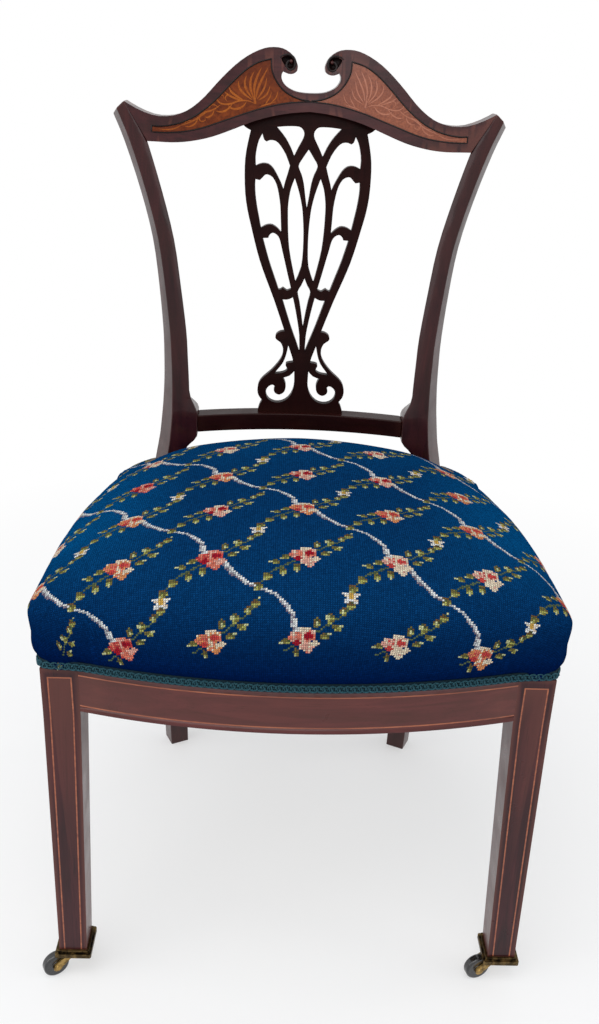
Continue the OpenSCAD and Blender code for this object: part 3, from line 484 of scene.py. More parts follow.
def easedEdges(piece, width, share=None, segments=2):
    # Bevels the arrises; share() gives each its part of the width by its middle point and its faces
    mesh = piece.data
    mesh.attributes.new("bevel_weight_edge", "FLOAT", "EDGE")
    work = bmesh.new()
    work.from_mesh(mesh)
    layer = work.edges.layers.float.get("bevel_weight_edge")
    for edge in work.edges:
        if len(edge.link_faces) == 2 and edge.calc_face_angle(0) > math.radians(arrisAngle):
            middle = (edge.verts[0].co + edge.verts[1].co) / 2
            edge[layer] = share(middle, edge) if share else 1.0
    work.to_mesh(mesh)
    work.free()
    bevel = piece.modifiers.new("eased arrises", "BEVEL")
    bevel.limit_method = "WEIGHT"
    bevel.width = width * mm
    bevel.segments = segments
    bevel.use_clamp_overlap = True
    bevel.miter_outer = "MITER_ARC"
    pickOnly(piece)
    bpy.ops.object.modifier_apply(modifier=bevel.name)
    smoothFaces(piece)


# Where the stringing's grooves lie, in mm of the part's drawing
grooves = {
    "legFrom": 200, "legInner": 200.5, "legOuter": 235, "innerTaper": 10, "outerTaper": 4,
    "taperTop": 333, "taperLength": 297, "margin": 3, "legDepth": 1.2, "railDepth": 3,
}


def grooveShare(point, edge):
    # The stringing's grooves lie in the front faces and stay crisp
    x, y, z = abs(point.x / mm), point.y / mm + midY, point.z / mm
    margin = grooves["margin"]
    if x > grooves["legFrom"] and y < grooves["legDepth"]:
        taper = clamp((grooves["taperTop"] - z) / grooves["taperLength"])
        inner = grooves["legInner"] + grooves["innerTaper"] * taper
        outer = grooves["legOuter"] + grooves["outerTaper"] * taper
        return 0.0 if inner + margin < x < outer - margin else 1.0
    inRail = x <= grooves["legFrom"] + 1 and y < grooves["railDepth"]
    return 0.0 if inRail and railLow + margin < z < railTop - margin else 1.0


woodwork = {
    # name: node, wood, easing in mm
    "piercedSplat": ("splat", "splat", 0.8),
    "crossRail": ("cross_rail", "cross", 1.6),
    "rearLegLeft": ("rear_leg_left", "posts", 1.2),
    "rearLegRight": ("rear_leg_right", "posts", 1.2),
    "frontLegLeft": ("front_leg_left", "Z", 0.7),
    "frontLegRight": ("front_leg_right", "Z", 0.7),
    "frontRail": ("front_rail", "X", 0.7),
    "sideRailLeft": ("side_rail_left", "Y", 0.7),
    "sideRailRight": ("side_rail_right", "Y", 0.7),
    "rearRail": ("rear_rail", "X", 0.7),
}
for name, (node, grain, easing) in woodwork.items():
    piece = mergedCopy(node, name)
    easedEdges(piece, easing, grooveShare if "front" in node else None)
    fit(piece, "chair", polished[grain], "mahogany", node)
for node in ("front_rail_stringing", "leg_stringing_left", "leg_stringing_right"):
    dress(node, boxwood)
for end in ("front", "rear"):
    for side in ("left", "right"):
        node = "%s_block_%s" % (end, side)
        piece = mergedCopy(node, "cornerBlock" + end.title() + side.title())
        easedEdges(piece, 0.8)
        fit(piece, "chair", beech, "beech", node)
print("woodwork eased:", len(woodwork), "pieces and four blocks")


# Crest rail: eased outside, scooped volutes, beads round the marquetry

crest = {
    "radius": 429, "bow": 440, "sweep": 2200, "rakeHeight": 853, "lowEdge": 838, "baseY": 388,
    "outerEase": 2.2, "innerShare": 0.35, "earX": 196, "scoopDepth": 4.2,
    "beadRadius": 0.95, "beadDepth": 0.45, "panelDepth": 0.7,
    "eye": (22.4, 50.4, 2.0), "eyeRadius": 2.2,
}
crestRise = crest["rakeHeight"] - railTop
crestRake = math.asin(crestRise / crest["sweep"])
crestMidY = crest["baseY"] + crest["sweep"] - math.sqrt(crest["sweep"] ** 2 - crestRise ** 2)


def crestPoint(x, z, depth=0.0):
    # A place on the crest's front: x and z as seen from the front, z from its lower edge, depth into the wood
    inward = -crest["bow"] + math.sqrt((crest["radius"] + depth) ** 2 - x * x)
    z += crest["lowEdge"]
    upward = (z - crest["rakeHeight"] + inward * math.sin(crestRake)) / math.cos(crestRake)
    return drawn(x, crestMidY + inward * math.cos(crestRake) + upward * math.sin(crestRake), z)


def smoothRun(points, steps):
    # Smooth line through a run of points
    line = []
    for k in range(len(points) - 1):
        a, b, c, d = points[max(k - 1, 0)], points[k], points[k + 1], points[min(k + 2, len(points) - 1)]
        for j in range(steps):
            t = j / steps
            line.append(tuple(
                0.5 * (2 * b[n] + (c[n] - a[n]) * t + (2 * a[n] - 5 * b[n] + 4 * c[n] - d[n]) * t * t
                       + (3 * b[n] - a[n] - 3 * c[n] + d[n]) * t ** 3) for n in range(len(b))))
    line.append(tuple(points[-1]))
    return line


scoopOutline = [(33.5, 53.4), (30, 55.4), (26, 56), (21.8, 54.4), (19.4, 51), (19, 47), (20.8, 43.6),
                (24.6, 42.4), (28, 44), (30.4, 47.4), (32.6, 50.4)]
panelTop = [(170.5, -17.3), (163, -18), (152, -17), (140, -14.1), (128.5, -9.1), (119, -3.1), (109, 4.6),
            (99, 14.1), (89, 24.5), (78, 34.9), (67.5, 43.1), (56.7, 48.7), (44, 52.1)]
panelInner = [(44, 52.1), (43.3, 41.9), (39.7, 32.9), (32.9, 23.8), (23.5, 17), (11, 12.4), (0, 11.1)]
panelLow = [(0, 10), (21.5, 8.5), (41, 4.9), (61, -0.4), (81, -7.1), (100.7, -13.8), (118, -19.5),
            (135.5, -23.1), (154, -24.5), (170.5, -23.9)]
panelRim = smoothRun(panelTop, 4)[:-1] + smoothRun(panelInner, 4)[:-1] + smoothRun(panelLow, 4)


def crestShare(point, edge):
    # The crest's own outline is rounded, its sunk panels are only eased
    facing = [abs(face.normal.y) for face in edge.link_faces]
    x, z = abs(point.x / mm), point.z / mm - crest["lowEdge"]
    atPanel = min(math.hypot(x - px, z - pz) for px, pz in panelRim) < 2.0
    atOutline = max(facing) > 0.7 and min(facing) < 0.55 and x < crest["earX"]
    return 1.0 if atOutline and not atPanel else crest["innerShare"]


def carveScoop(piece, side):
    # Hollow inside a volute, narrower at its bottom; its faces take near-black wood as painted shade
    ring = smoothRun(scoopOutline + [scoopOutline[0]], 3)[:-1]
    midX, midZ = (sum(p[n] for p in ring) / len(ring) for n in (0, 1))
    rings = []
    for depth, shrink in ((-4, 1.12), (0, 1.0), (2.6, 0.84), (crest["scoopDepth"], 0.5)):
        rings.append([crestPoint(side * (midX + (x - midX) * shrink), midZ + (z - midZ) * shrink, depth)
                      for x, z in ring])
    cutter = loft("scoop", rings, smooth=False)
    editWhole(cutter, turnOutwards)
    cutter.data.materials.append(hollowShadeBlack)
    cutBy(piece, cutter, "TRANSFER")


crestRail = mergedCopy("crest_rail", "crestRail")
fit(crestRail, "chair", polished["crest"], "mahogany", "crest_rail")
easedEdges(crestRail, crest["outerEase"], crestShare, 3)
for side in (-1, 1):
    carveScoop(crestRail, side)
smoothFaces(crestRail)
print("crest carved:", len(crestRail.data.polygons), "faces,", len(crestRail.data.materials), "materials")

# The volute's inner lip winds in to its eye: x, z, depth, radius
voluteLip = [(35.0, 53.6, 0.3, 0.5), (31.4, 56.0, 0.3, 0.9), (26.4, 57.0, 0.3, 1.1), (21.4, 55.4, 0.3, 1.3),
             (18.4, 51.4, 0.3, 1.4), (18.0, 46.8, 0.3, 1.4), (19.8, 43.0, 0.4, 1.3), (23.2, 41.7, 0.6, 1.3),
             (26.6, 43.4, 1.0, 1.4), (27.6, 46.8, 1.4, 1.5), (26.0, 49.8, 1.8, 1.6), (23.4, 50.6, 2.0, 1.7)]
beads, eyes = [], []
for side in (-1, 1):
    rim = [crestPoint(side * x, z, crest["beadDepth"]) for x, z in panelRim]
    beads.append(tube("rim", rim, crest["beadRadius"] * mm, 6, True))
    lip = smoothRun(voluteLip, 4)
    lipPath = [crestPoint(side * x, z, depth) for x, z, depth, _ in lip]
    beads.append(tube("lip", lipPath, [r * mm for *_, r in lip], 8))
    bpy.ops.object.select_all(action="DESELECT")
    eyeX, eyeZ, eyeDepth = crest["eye"]
    place = crestPoint(side * eyeX, eyeZ, eyeDepth)
    bpy.ops.mesh.primitive_uv_sphere_add(
        segments=20, ring_count=10, radius=crest["eyeRadius"] * mm, location=place)
    eye = bpy.context.active_object
    eye.scale = (1.0, 1.3, 1.0)
    bpy.ops.object.transform_apply(location=True, rotation=True, scale=True)
    bpy.ops.object.shade_smooth()
    eyes.append(eye)
# The beads round the panels and the volute lips are near-black as painted groove shade
fit(joinPieces("crestBeads", beads), "chair", grooveShadeBlack, "mahogany")
fit(joinPieces("voluteEyes", eyes), "chair", polished["crest"], "mahogany")


# Marquetry: acanthus scrolls let into the two panels as thin veneer leaves

dress("crest_panel_left", leftVeneer)
# The right panel is paler, as painted reflection
dress("crest_panel_right", rightVeneerReflected)

# Strokes of the leaf scroll: points of x and z, widest half width, and where along it is widest
acanthus = [
    # tall leaf beside the inner end
    ([(60, 12), (58, 22), (53, 33), (47.5, 43)], 1.5, 0.4),
    ([(61, 12), (62, 23), (59, 34), (54.5, 43)], 1.6, 0.45),
    ([(62, 11), (66, 21), (66, 31), (62.5, 39)], 1.5, 0.45),
    ([(63, 11), (70, 19), (72.5, 27), (71, 34.5)], 1.4, 0.45),
    ([(63.5, 10), (73, 16), (78.5, 22.5), (79.5, 29)], 1.3, 0.45),
    ([(59, 11), (53, 19), (50, 26), (48.8, 33)], 1.2, 0.4),
    ([(57.5, 10), (50, 14.5), (46.5, 19.5), (45, 25)], 1.1, 0.4),
    ([(60, 6), (61, 9), (61.5, 13), (61, 17)], 1.5, 0.3),
    # scrolling stem and its curled leaves towards the outer end
    ([(60, 6), (68, 9), (78, 9), (88, 5.5), (97, 5.5), (102, 9.5), (100, 14), (95.5, 13.5), (95.5, 10)],
     1.0, 0.3),
    ([(70, 8.5), (74, 3.5), (80, 0.8), (86.5, 1.2), (90, 4)], 1.3, 0.5),
    ([(72, 8.8), (80, 13), (87, 18), (89.5, 22.5)], 1.4, 0.5),
    ([(74, 8.8), (83, 11.5), (90, 14.5), (94.5, 18)], 1.2, 0.5),
    ([(85, 6.5), (90, 0.5), (96.5, -2.6), (103, -2)], 1.2, 0.5),
    ([(97, 5.5), (103, 1), (109.5, -2), (116, -3.8), (121, -8.5), (119, -12.6), (114.5, -11.6), (115.5, -8.6)],
     1.0, 0.35),
    ([(101, 2.2), (106, 4.6), (109, 3.6), (111, 0.6)], 1.0, 0.5),
    ([(105, -0.6), (107, -5.6), (111.5, -8.4), (115, -8)], 1.1, 0.5),
    ([(112, -2.9), (118, -6.4), (126, -11.6), (134, -15), (142, -17.6)], 1.0, 0.4),
    ([(122, -9.4), (125, -14.8), (130.5, -18), (136, -18)], 1.0, 0.5),
    ([(128, -12.8), (131.6, -12.2), (134.4, -13), (137, -15.4)], 0.9, 0.5),
    ([(140, -17), (147, -20.4), (155, -21.4), (164, -20.6)], 0.8, 0.4),
    # small sprays above and below
    ([(91, 8), (93.5, 11.2), (91.5, 14), (88, 13)], 0.7, 0.5),
    ([(56, 3.5), (50, 5.5), (44, 7.2), (38, 9.2)], 0.8, 0.4),
    ([(50, 5.5), (47, 10), (44.5, 14), (43, 19)], 0.8, 0.4),
    ([(44, 7.4), (39, 12), (37, 16), (36, 20)], 0.7, 0.4),
]


def leafPoints(path, widths, side, lift):
    # Both edges of a flat tapering leaf: path holds x and z, widths the half widths
    points, depth = [], crest["panelDepth"] - lift
    for k, (x, z) in enumerate(path):
        ahead, behind = path[min(k + 1, len(path) - 1)], path[max(k - 1, 0)]
        dx, dz = ahead[0] - behind[0], ahead[1] - behind[1]
        length = math.hypot(dx, dz) or 1
        for w in (widths[k], -widths[k]):
            points.append(crestPoint(side * (x - dz / length * w), z + dx / length * w, depth))
    return points


def layAcanthus(name, side, material, slim):
    points, faces = [], []
    for k, (run, widest, peak) in enumerate(acanthus):
        line = smoothRun(run, 6)
        widths = []
        for j in range(len(line)):
            t = j / (len(line) - 1)
            rise = t / peak if t < peak else (1 - t) / (1 - peak)
            widths.append(max(0.05, widest * slim * math.sin(rise * math.pi / 2) ** 0.8))
        for quad in gridQuads(len(line), 2):
            faces.append(tuple(v + len(points) for v in quad[::side]))
        points += leafPoints(line, widths, side, 0.05 + 0.015 * (k % 4))
    return fit(meshPiece(name, points, faces), "chair", material, "marquetry")


layAcanthus("acanthusLeft", -1, leafVeneer, 0.85)
# The right panel's leaves are paler, as painted reflection
layAcanthus("acanthusRight", 1, reflectedLeafVeneer, 0.6)
print("marquetry laid")


# Stuffed seat: its outside is one dome, drawn in under its widest line to the show wood

seat = {
    "width": 470, "rearWidth": 344, "depth": 372, "frontBow": 27, "legWidth": 34.5,
    "sideStart": 40, "sidePower": 2.5, "sideFrom": 12, "sideTo": 338, "bowTo": 196,
    "frontRound": 10, "rearRound": 34,
    "frontBulge": 17.5, "sideBulge": 13, "frontTo": 224, "frontFade": 24,
    "rearShare": 0.5, "rearFrom": 330, "rearFade": 40,
    "widestZ": 437, "crownZ": 501, "crownPower": 4, "crownFall": 0.45, "fallPower": 1.6, "cornerFall": 16,
    "core": 50, "coreRound": 12, "footZ": 383.4,
    "stitch": 2.0, "halfColumns": 165, "rowLow": -88, "rowHigh": 242,
    "postX": 158, "postY": 358.71, "postTurn": 26, "postHalf": (17, 19), "flapEnd": -5,
    "postRoom": 60, "postClearance": 1.2, "roomLow": 280, "roomHigh": 580, "cutNear": 2.4,
}
# Share of the bulge at each share of the height from the show wood to the widest line
flank = [(0.985, 0.88), (0.94, 0.75), (0.86, 0.60), (0.74, 0.46),
         (0.56, 0.34), (0.34, 0.25), (0.14, 0.18), (0.09, 0.0)]
bowRadius = ((seat["width"] / 2 - seat["legWidth"]) ** 2 + seat["frontBow"] ** 2) / (2 * seat["frontBow"])
centre = np.array((0, 167.4))       # the place in the seat that every direction is counted from
postTurn = math.radians(seat["postTurn"])
postCos, postSin = math.cos(postTurn), math.sin(postTurn)


def halfWidth(y):
    drawnIn = max(0.0, y - seat["sideStart"]) / (seat["depth"] - seat["sideStart"])
    return seat["width"] / 2 - (seat["width"] - seat["rearWidth"]) / 2 * drawnIn ** seat["sidePower"]


def frontY(x):
    return -seat["frontBow"] + bowRadius - math.sqrt(bowRadius ** 2 - x * x)


def arcPoints(middle, radius, start, end, steps):
    turns = [math.radians(start + (end - start) * k / steps) for k in range(steps + 1)]
    return [(middle[0] + radius * math.cos(a), middle[1] + radius * math.sin(a)) for a in turns]


def bothHalves(half):
    return np.array(half + [(-x, y) for x, y in reversed(half[1:-1])])


def bulgeAt(places):
    front = np.clip((seat["frontTo"] - np.abs(places[:, 0])) / seat["frontFade"], 0, 1)
    front *= places[:, 1] < seat["sideStart"]
    rear = np.clip((places[:, 1] - seat["rearFrom"]) / seat["rearFade"], 0, 1)
    bulge = seat["sideBulge"] + (seat["frontBulge"] - seat["sideBulge"]) * front
    return bulge * (1 - rear * (1 - seat["rearShare"]))


def frameOutline(share=1.0, extra=0.0):
    # The seat frame's outline moved out by a share of the bulge, its rear corners as if no post stood there
    front, rear = seat["frontRound"], seat["rearRound"]
    side = [(halfWidth(y), y) for y in np.linspace(seat["sideFrom"], seat["sideTo"], 40)]
    endX, endY = side[-1]
    half = [(x, frontY(x)) for x in np.linspace(0, seat["bowTo"], 28)] + [(208, 0.4), (217, 0.4)]
    half += arcPoints((seat["width"] / 2 - front, front), front, -80, -8, 6) + side
    half += arcPoints((endX - rear, endY), rear, 8, 82, 10)
    half += [(x, seat["depth"]) for x in np.linspace(endX - rear - 10, 0, 22)]
    line = bothHalves(half)
    way = np.roll(line, -1, 0) - np.roll(line, 1, 0)
    way /= np.linalg.norm(way, axis=1)[:, None]
    normal = np.stack([way[:, 1], -way[:, 0]], 1)
    moved = line + normal * (bulgeAt(line) * share + extra)[:, None]
    for _ in range(2):
        moved = moved * 0.5 + (np.roll(moved, 1, 0) + np.roll(moved, -1, 0)) * 0.25
    return moved


def coreOutline():
    # The flat middle of the canvas, inside which it lies straight
    inset, r = seat["core"], seat["coreRound"]
    backY = seat["depth"] - inset
    frontX = halfWidth(60) - inset - r
    half = [(x, frontY(x) + inset) for x in np.linspace(0, frontX, 24)]
    y0 = frontY(frontX) + inset
    half += arcPoints((frontX, y0 + r), r, -78, -6, 8)
    half += [(halfWidth(y) - inset, y) for y in np.linspace(y0 + r + 2, backY - r - 2, 40)]
    backX = halfWidth(backY) - inset - r - 3
    half += arcPoints((backX, backY - r), r, 10, 84, 8) + [(x, backY) for x in np.linspace(backX - 4, 0, 22)]
    return bothHalves(half)


def sidesOf(line):
    return zip(line, np.roll(line, -1, 0))


def rayReach(starts, ways, line):
    # How far each ray runs from inside a closed line to the line
    reach = np.full(len(starts), 1e9)
    for a, b in sidesOf(line):
        edge = b - a
        cross = ways[:, 0] * edge[1] - ways[:, 1] * edge[0]
        cross = np.where(np.abs(cross) < 1e-9, 1e-9, cross)
        gap = a - starts
        t = (gap[:, 0] * edge[1] - gap[:, 1] * edge[0]) / cross
        u = (gap[:, 0] * ways[:, 1] - gap[:, 1] * ways[:, 0]) / cross
        good = (t > 1e-6) & (u >= -1e-6) & (u <= 1 + 1e-6)
        reach = np.where(good & (t < reach), t, reach)
    return reach


def insideLine(points, line):
    inside = np.zeros(len(points), bool)
    for a, b in sidesOf(line):
        spans = (a[1] > points[:, 1]) != (b[1] > points[:, 1])
        rise = b[1] - a[1] if abs(b[1] - a[1]) > 1e-12 else 1e-12
        inside ^= spans & (points[:, 0] < (b[0] - a[0]) * (points[:, 1] - a[1]) / rise + a[0])
    return inside


def nearestOnLine(points, line):
    best = np.full(len(points), 1e18)
    found = np.zeros_like(points)
    for a, b in sidesOf(line):
        edge = b - a
        t = np.clip(((points - a) @ edge) / (edge @ edge), 0, 1)
        spot = a + t[:, None] * edge
        d = ((points - spot) ** 2).sum(1)
        closer = d < best
        best = np.where(closer, d, best)
        found[closer] = spot[closer]
    return found, np.sqrt(best)


widestLine = frameOutline()
coreLine = coreOutline()
angles = np.linspace(-math.pi, math.pi, 721)
rays = np.column_stack([np.cos(angles), np.sin(angles)])
reaches = rayReach(np.repeat(centre[None], len(angles), 0), rays, widestLine)


def domeHeight(points):
    # Height of the dome over each place, on its widest line at the least
    away = points - centre
    share = np.linalg.norm(away, axis=1) / np.interp(np.arctan2(away[:, 1], away[:, 0]), angles, reaches)
    share = np.clip(share, 0, 1)
    rise = (seat["crownZ"] - seat["widestZ"]) * np.sqrt(np.maximum(0, 1 - share ** seat["crownPower"]))
    sideways = np.abs(points[:, 0]) / (seat["width"] / 2 + seat["sideBulge"])
    rise *= 1 - seat["crownFall"] * sideways ** seat["fallPower"]
    halfDepth = seat["depth"] / 2
    drop = seat["cornerFall"] * (points[:, 0] / seat["postX"]) ** 2
    drop *= (np.maximum(0, points[:, 1] - halfDepth) / halfDepth) ** 2 * np.minimum(1, 8 * (1 - share))
    return seat["widestZ"] + rise - drop


def wrapCanvas(points, steps=36):
    # Lays flat canvas over the seat: straight inside the core, and outside it the shortest way down the side
    inside = insideLine(points, coreLine)
    placed = np.zeros((len(points), 3))
    spare = np.full(len(points), 999.0)
    core = points[inside]
    placed[inside] = np.column_stack([core, domeHeight(core)])
    outer = points[~inside]
    start, gone = nearestOnLine(outer, coreLine)
    way = (outer - start) / np.maximum(gone, 1e-6)[:, None]
    reach = rayReach(start, way, widestLine)
    bulge = bulgeAt(start + way * reach[:, None])
    # The profile below each place: out over the dome, and in again under its widest line
    outs = [reach * math.sin(math.pi / 2 * k / steps) for k in range(steps + 1)]
    highs = [domeHeight(start + way * r[:, None]) for r in outs]
    for share, height in flank:
        outs.append(reach - bulge * (1 - share))
        highs.append(np.full(len(outer), seat["footZ"] + (seat["widestZ"] - seat["footZ"]) * height))
    outs, highs = np.array(outs), np.array(highs)
    run = np.sqrt(np.diff(outs, axis=0) ** 2 + np.diff(highs, axis=0) ** 2)
    far = np.vstack([np.zeros(len(outer)), np.cumsum(run, 0)])
    r, z = np.zeros(len(outer)), np.zeros(len(outer))
    for k in range(len(far) - 1):
        on = (gone >= far[k]) & (gone <= far[k + 1])
        t = np.where(on, (gone - far[k]) / np.maximum(far[k + 1] - far[k], 1e-6), 0)
        r = np.where(on, outs[k] + (outs[k + 1] - outs[k]) * t, r)
        z = np.where(on, highs[k] + (highs[k + 1] - highs[k]) * t, z)
    placed[~inside] = np.column_stack([start + way * r[:, None], z])
    spare[~inside] = far[-1] - gone
    return placed, spare


def postPlace(points):
    # Place beside the nearer post, along its two sides
    x = np.abs(points[:, 0]) - seat["postX"]
    y = points[:, 1] - seat["postY"]
    return x * postCos - y * postSin, x * postSin + y * postCos


def fromPost(across, deep):
    # The way in x and y that goes so far along the right post's two sides
    return across * postCos + deep * postSin, deep * postCos - across * postSin


def inPostCut(points):
    across, deep = postPlace(points)
    halfA, halfD = seat["postHalf"]
    return (across > -halfA) & (deep > -halfD) & ~((across > halfA) & (deep < seat["flapEnd"]))


def cutPostRoom(piece):
    # Room for the two posts in the seat's rear corners, and for what lies behind the flap outside each post
    a, d = (half + seat["postClearance"] for half in seat["postHalf"])
    flap, room = seat["flapEnd"] - seat["postClearance"], seat["postRoom"]
    corners = [fromPost(*c) for c in ((-a, -d), (a, -d), (a, flap), (room, flap), (room, room), (-a, room))]
    for side in (1, -1):
        line = [(side * (seat["postX"] + x), seat["postY"] + y) for x, y in corners]
        cutBy(piece, prism("postRoom", line[::side], seat["roomLow"], seat["roomHigh"]))


# Padding under the cover: a closed pad that swells against the canvas, flat below over the springs

pad = {
    "across": 330, "front": -170, "back": 480, "step": 6.0, "voxel": 5, "foot": 400.6,
    "inset": 4.0, "topShare": 0.35, "steepFrom": 30, "steepOver": 40,
    "pressure": 4.0, "stiffness": 12, "bending": 0.4, "frames": 20, "cap": 5, "heldTo": 396, "freeFrom": 420,
}


def closeRim():
    bpy.ops.mesh.select_mode(type="EDGE")
    bpy.ops.mesh.select_all(action="DESELECT")
    bpy.ops.mesh.select_non_manifold(
        extend=False, use_wire=False, use_boundary=True, use_multi_face=False,
        use_non_contiguous=False, use_verts=False)
    bpy.ops.mesh.fill()
    turnOutwards()


def levelFoot():
    low = (0, 0, pad["foot"] * mm)
    bpy.ops.mesh.bisect(plane_co=low, plane_no=(0, 0, 1), use_fill=True, clear_inner=True)
    turnOutwards()


def buildPad():
    xs = np.arange(-pad["across"], pad["across"] + 1, pad["step"])
    ys = np.arange(pad["front"], pad["back"], pad["step"])
    placed, spare = wrapCanvas(np.array([(x, y) for y in ys for x in xs]))
    inward = centre - placed[:, :2]
    inward /= np.maximum(np.linalg.norm(inward, axis=1), 1e-6)[:, None]
    steep = np.clip((seat["widestZ"] + pad["steepFrom"] - placed[:, 2]) / pad["steepOver"], 0, 1)
    placed[:, :2] += inward * (pad["inset"] * (pad["topShare"] + (1 - pad["topShare"]) * steep))[:, None]
    placed[:, 2] -= pad["inset"] * (1 - steep)
    piece = canvasPiece("seatPadding", placed, gridQuads(len(ys), len(xs), spare > 0))
    editWhole(piece, closeRim)
    remesh = piece.modifiers.new("voxels", "REMESH")
    remesh.mode = "VOXEL"
    remesh.voxel_size = pad["voxel"] * mm
    applyModifiers(piece)
    return piece


def swellPad(piece):
    before = [v.co.copy() for v in piece.data.vertices]
    swelling = piece.modifiers.new("swelling", "CLOTH")
    cloth = swelling.settings
    cloth.use_pressure = True
    cloth.uniform_pressure_force = pad["pressure"]
    cloth.tension_stiffness = pad["stiffness"]
    cloth.compression_stiffness = pad["stiffness"]
    cloth.bending_stiffness = pad["bending"]
    cloth.effector_weights.gravity = 0
    swelling.collision_settings.use_collision = False
    swelling.point_cache.frame_start = 1
    swelling.point_cache.frame_end = pad["frames"]
    scene = bpy.context.scene
    for k in range(1, pad["frames"] + 1):
        scene.frame_set(k)
    applyModifiers(piece)
    scene.frame_set(1)
    cap = pad["cap"] * mm
    for vertex, start in zip(piece.data.vertices, before):
        # The foot of the pad stays on the rails
        moved = (vertex.co - start) * clamp((start.z / mm - pad["heldTo"]) / (pad["freeFrom"] - pad["heldTo"]))
        vertex.co = start + moved * min(1.0, cap / max(moved.length, 1e-9))


seatPadding = buildPad()
swellPad(seatPadding)
print("padding swollen")
editWhole(seatPadding, levelFoot)
cutPostRoom(seatPadding)
for polygon in seatPadding.data.polygons:
    polygon.use_smooth = True
print("padding:", len(seatPadding.data.polygons), "faces,", [round(d, 3) for d in seatPadding.dimensions])


# Webbing and hessian under the padding

webbing = {
    "x": (-88, 0, 88), "y": (78, 166, 254), "width": 50, "thick": 1.3, "middleZ": 335.6, "weave": 0.72,
    "front": -12, "rear": 366, "sideGap": 5, "step": 6, "columns": 5, "crossing": 40,
}


def weaveLevel(t, crossings, levels, ends):
    # Height of a strip along its length: it passes over or under each crossing
    places = [-1e3, crossings[0] - webbing["crossing"], *crossings, crossings[-1] + webbing["crossing"], 1e3]
    heights = [ends, ends, *levels, ends, ends]
    for a, b, u, v in zip(places, places[1:], heights, heights[1:]):
        if a <= t <= b:
            s = clamp((t - a) / (b - a) * 2.4 - 0.7)
            return u + (v - u) * s * s * (3 - 2 * s)
    return ends


def webStrip(name, along, at, start, end, levels, ends, node):
    # One woven strip; along is X or Y, at is its place across
    count, columns = int((end - start) / webbing["step"]), webbing["columns"]
    crossings = webbing["y"] if along == "Y" else webbing["x"]
    points = []
    for k in range(count + 1):
        t = start + (end - start) * k / count
        z = webbing["middleZ"] + webbing["weave"] * weaveLevel(t, crossings, levels, ends)
        for j in range(columns):
            across = at + webbing["width"] * (j / (columns - 1) - 0.5)
            points.append(drawn(across, t, z) if along == "Y" else drawn(t, across, z))
    piece = meshPiece(name, points, gridQuads(count + 1, columns))
    thicken(piece, webbing["thick"])
    fit(piece, "chair", jute, "webbing", node)


for i, x in enumerate(webbing["x"]):
    levels = [1 if (i + j) % 2 == 0 else -1 for j in range(3)]
    webStrip("webbingLong%d" % (i + 1), "Y", x, webbing["front"], webbing["rear"], levels, 1,
             "webbing_long")
for j, y in enumerate(webbing["y"]):
    half = halfWidth(y + webbing["width"] / 2) - webbing["sideGap"]
    levels = [-1 if (i + j) % 2 == 0 else 1 for i in range(3)]
    webStrip("webbingCross%d" % (j + 1), "X", y, -half, half, levels, -1,
             "webbing_cross")


hessian = {"level": 399.65, "ripple": 0.2, "thick": 0.7, "inset": 5.2, "rows": 52, "columns": 49}


def layHessian():
    rows, columns = hessian["rows"], hessian["columns"]
    line = frameOutline(0, -hessian["inset"])
    widest = line[:, 0].max()
    points = []
    for y in np.linspace(line[:, 1].min() + 0.3, line[:, 1].max() - 0.3, rows):
        reach = min(rayReach(np.array([[0.0, y]]), np.array([[1.0, 0.0]]), line)[0], widest)
        for k in range(columns):
            x = reach * (2 * k / (columns - 1) - 1)
            ripple = hessian["ripple"] * math.sin(x / 13) * math.sin(y / 17)
            points.append(drawn(x, y, hessian["level"] + ripple))
    piece = meshPiece("hessianSheet", points, gridQuads(rows, columns))
    thicken(piece, hessian["thick"])
    cutPostRoom(piece)
    print("hessian:", len(piece.data.polygons), "faces,", [round(d, 3) for d in piece.dimensions])
    fit(piece, "chair", sacking, "hessian", "hessian")


layHessian()
print("webbing and hessian laid")


# Needlework cover: one quad for each tent stitch of the canvas

wool = {
    "navy": (0.0005, 0.0125, 0.080), "blue": (0.0030, 0.0490, 0.160), "teal": (0.0014, 0.1200, 0.340),
    "crimson": (0.400, 0.012, 0.018), "red": (0.640, 0.070, 0.055), "salmon": (0.800, 0.210, 0.130),
    "pink": (0.860, 0.430, 0.330), "cream": (0.920, 0.740, 0.540), "orange": (0.780, 0.300, 0.110),
    "white": (0.860, 0.870, 0.830), "mauve": (0.250, 0.200, 0.240), "silver": (0.520, 0.540, 0.560),
    "olive": (0.200, 0.170, 0.045), "moss": (0.085, 0.110, 0.040), "lime": (0.430, 0.430, 0.110),
    "bronze": (0.180, 0.105, 0.035), "stem": (0.110, 0.150, 0.070), "tip": (0.620, 0.640, 0.330),
    "yolk": (0.700, 0.420, 0.080),
}
# The pattern's repeat and the reach of its roses and sprigs in stitches, the place of one row of roses in mm,
# and the front row's columns
repeat = {
    "across": 41, "down": 42, "roseReach": 8, "sprigAcross": 24, "sprigDown": 22, "ribbonReach": 4,
    "firstRow": 20.5, "lastRow": -1, "lastRowFrom": -3, "lastRowTo": 2,
}


def scatter(i, j, seed=0):
    # An even, repeatable number from 0 to 1 for each stitch
    v = math.sin(i * 127.1 + j * 311.7 + seed * 74.7) * 43758.5453
    return v - math.floor(v)


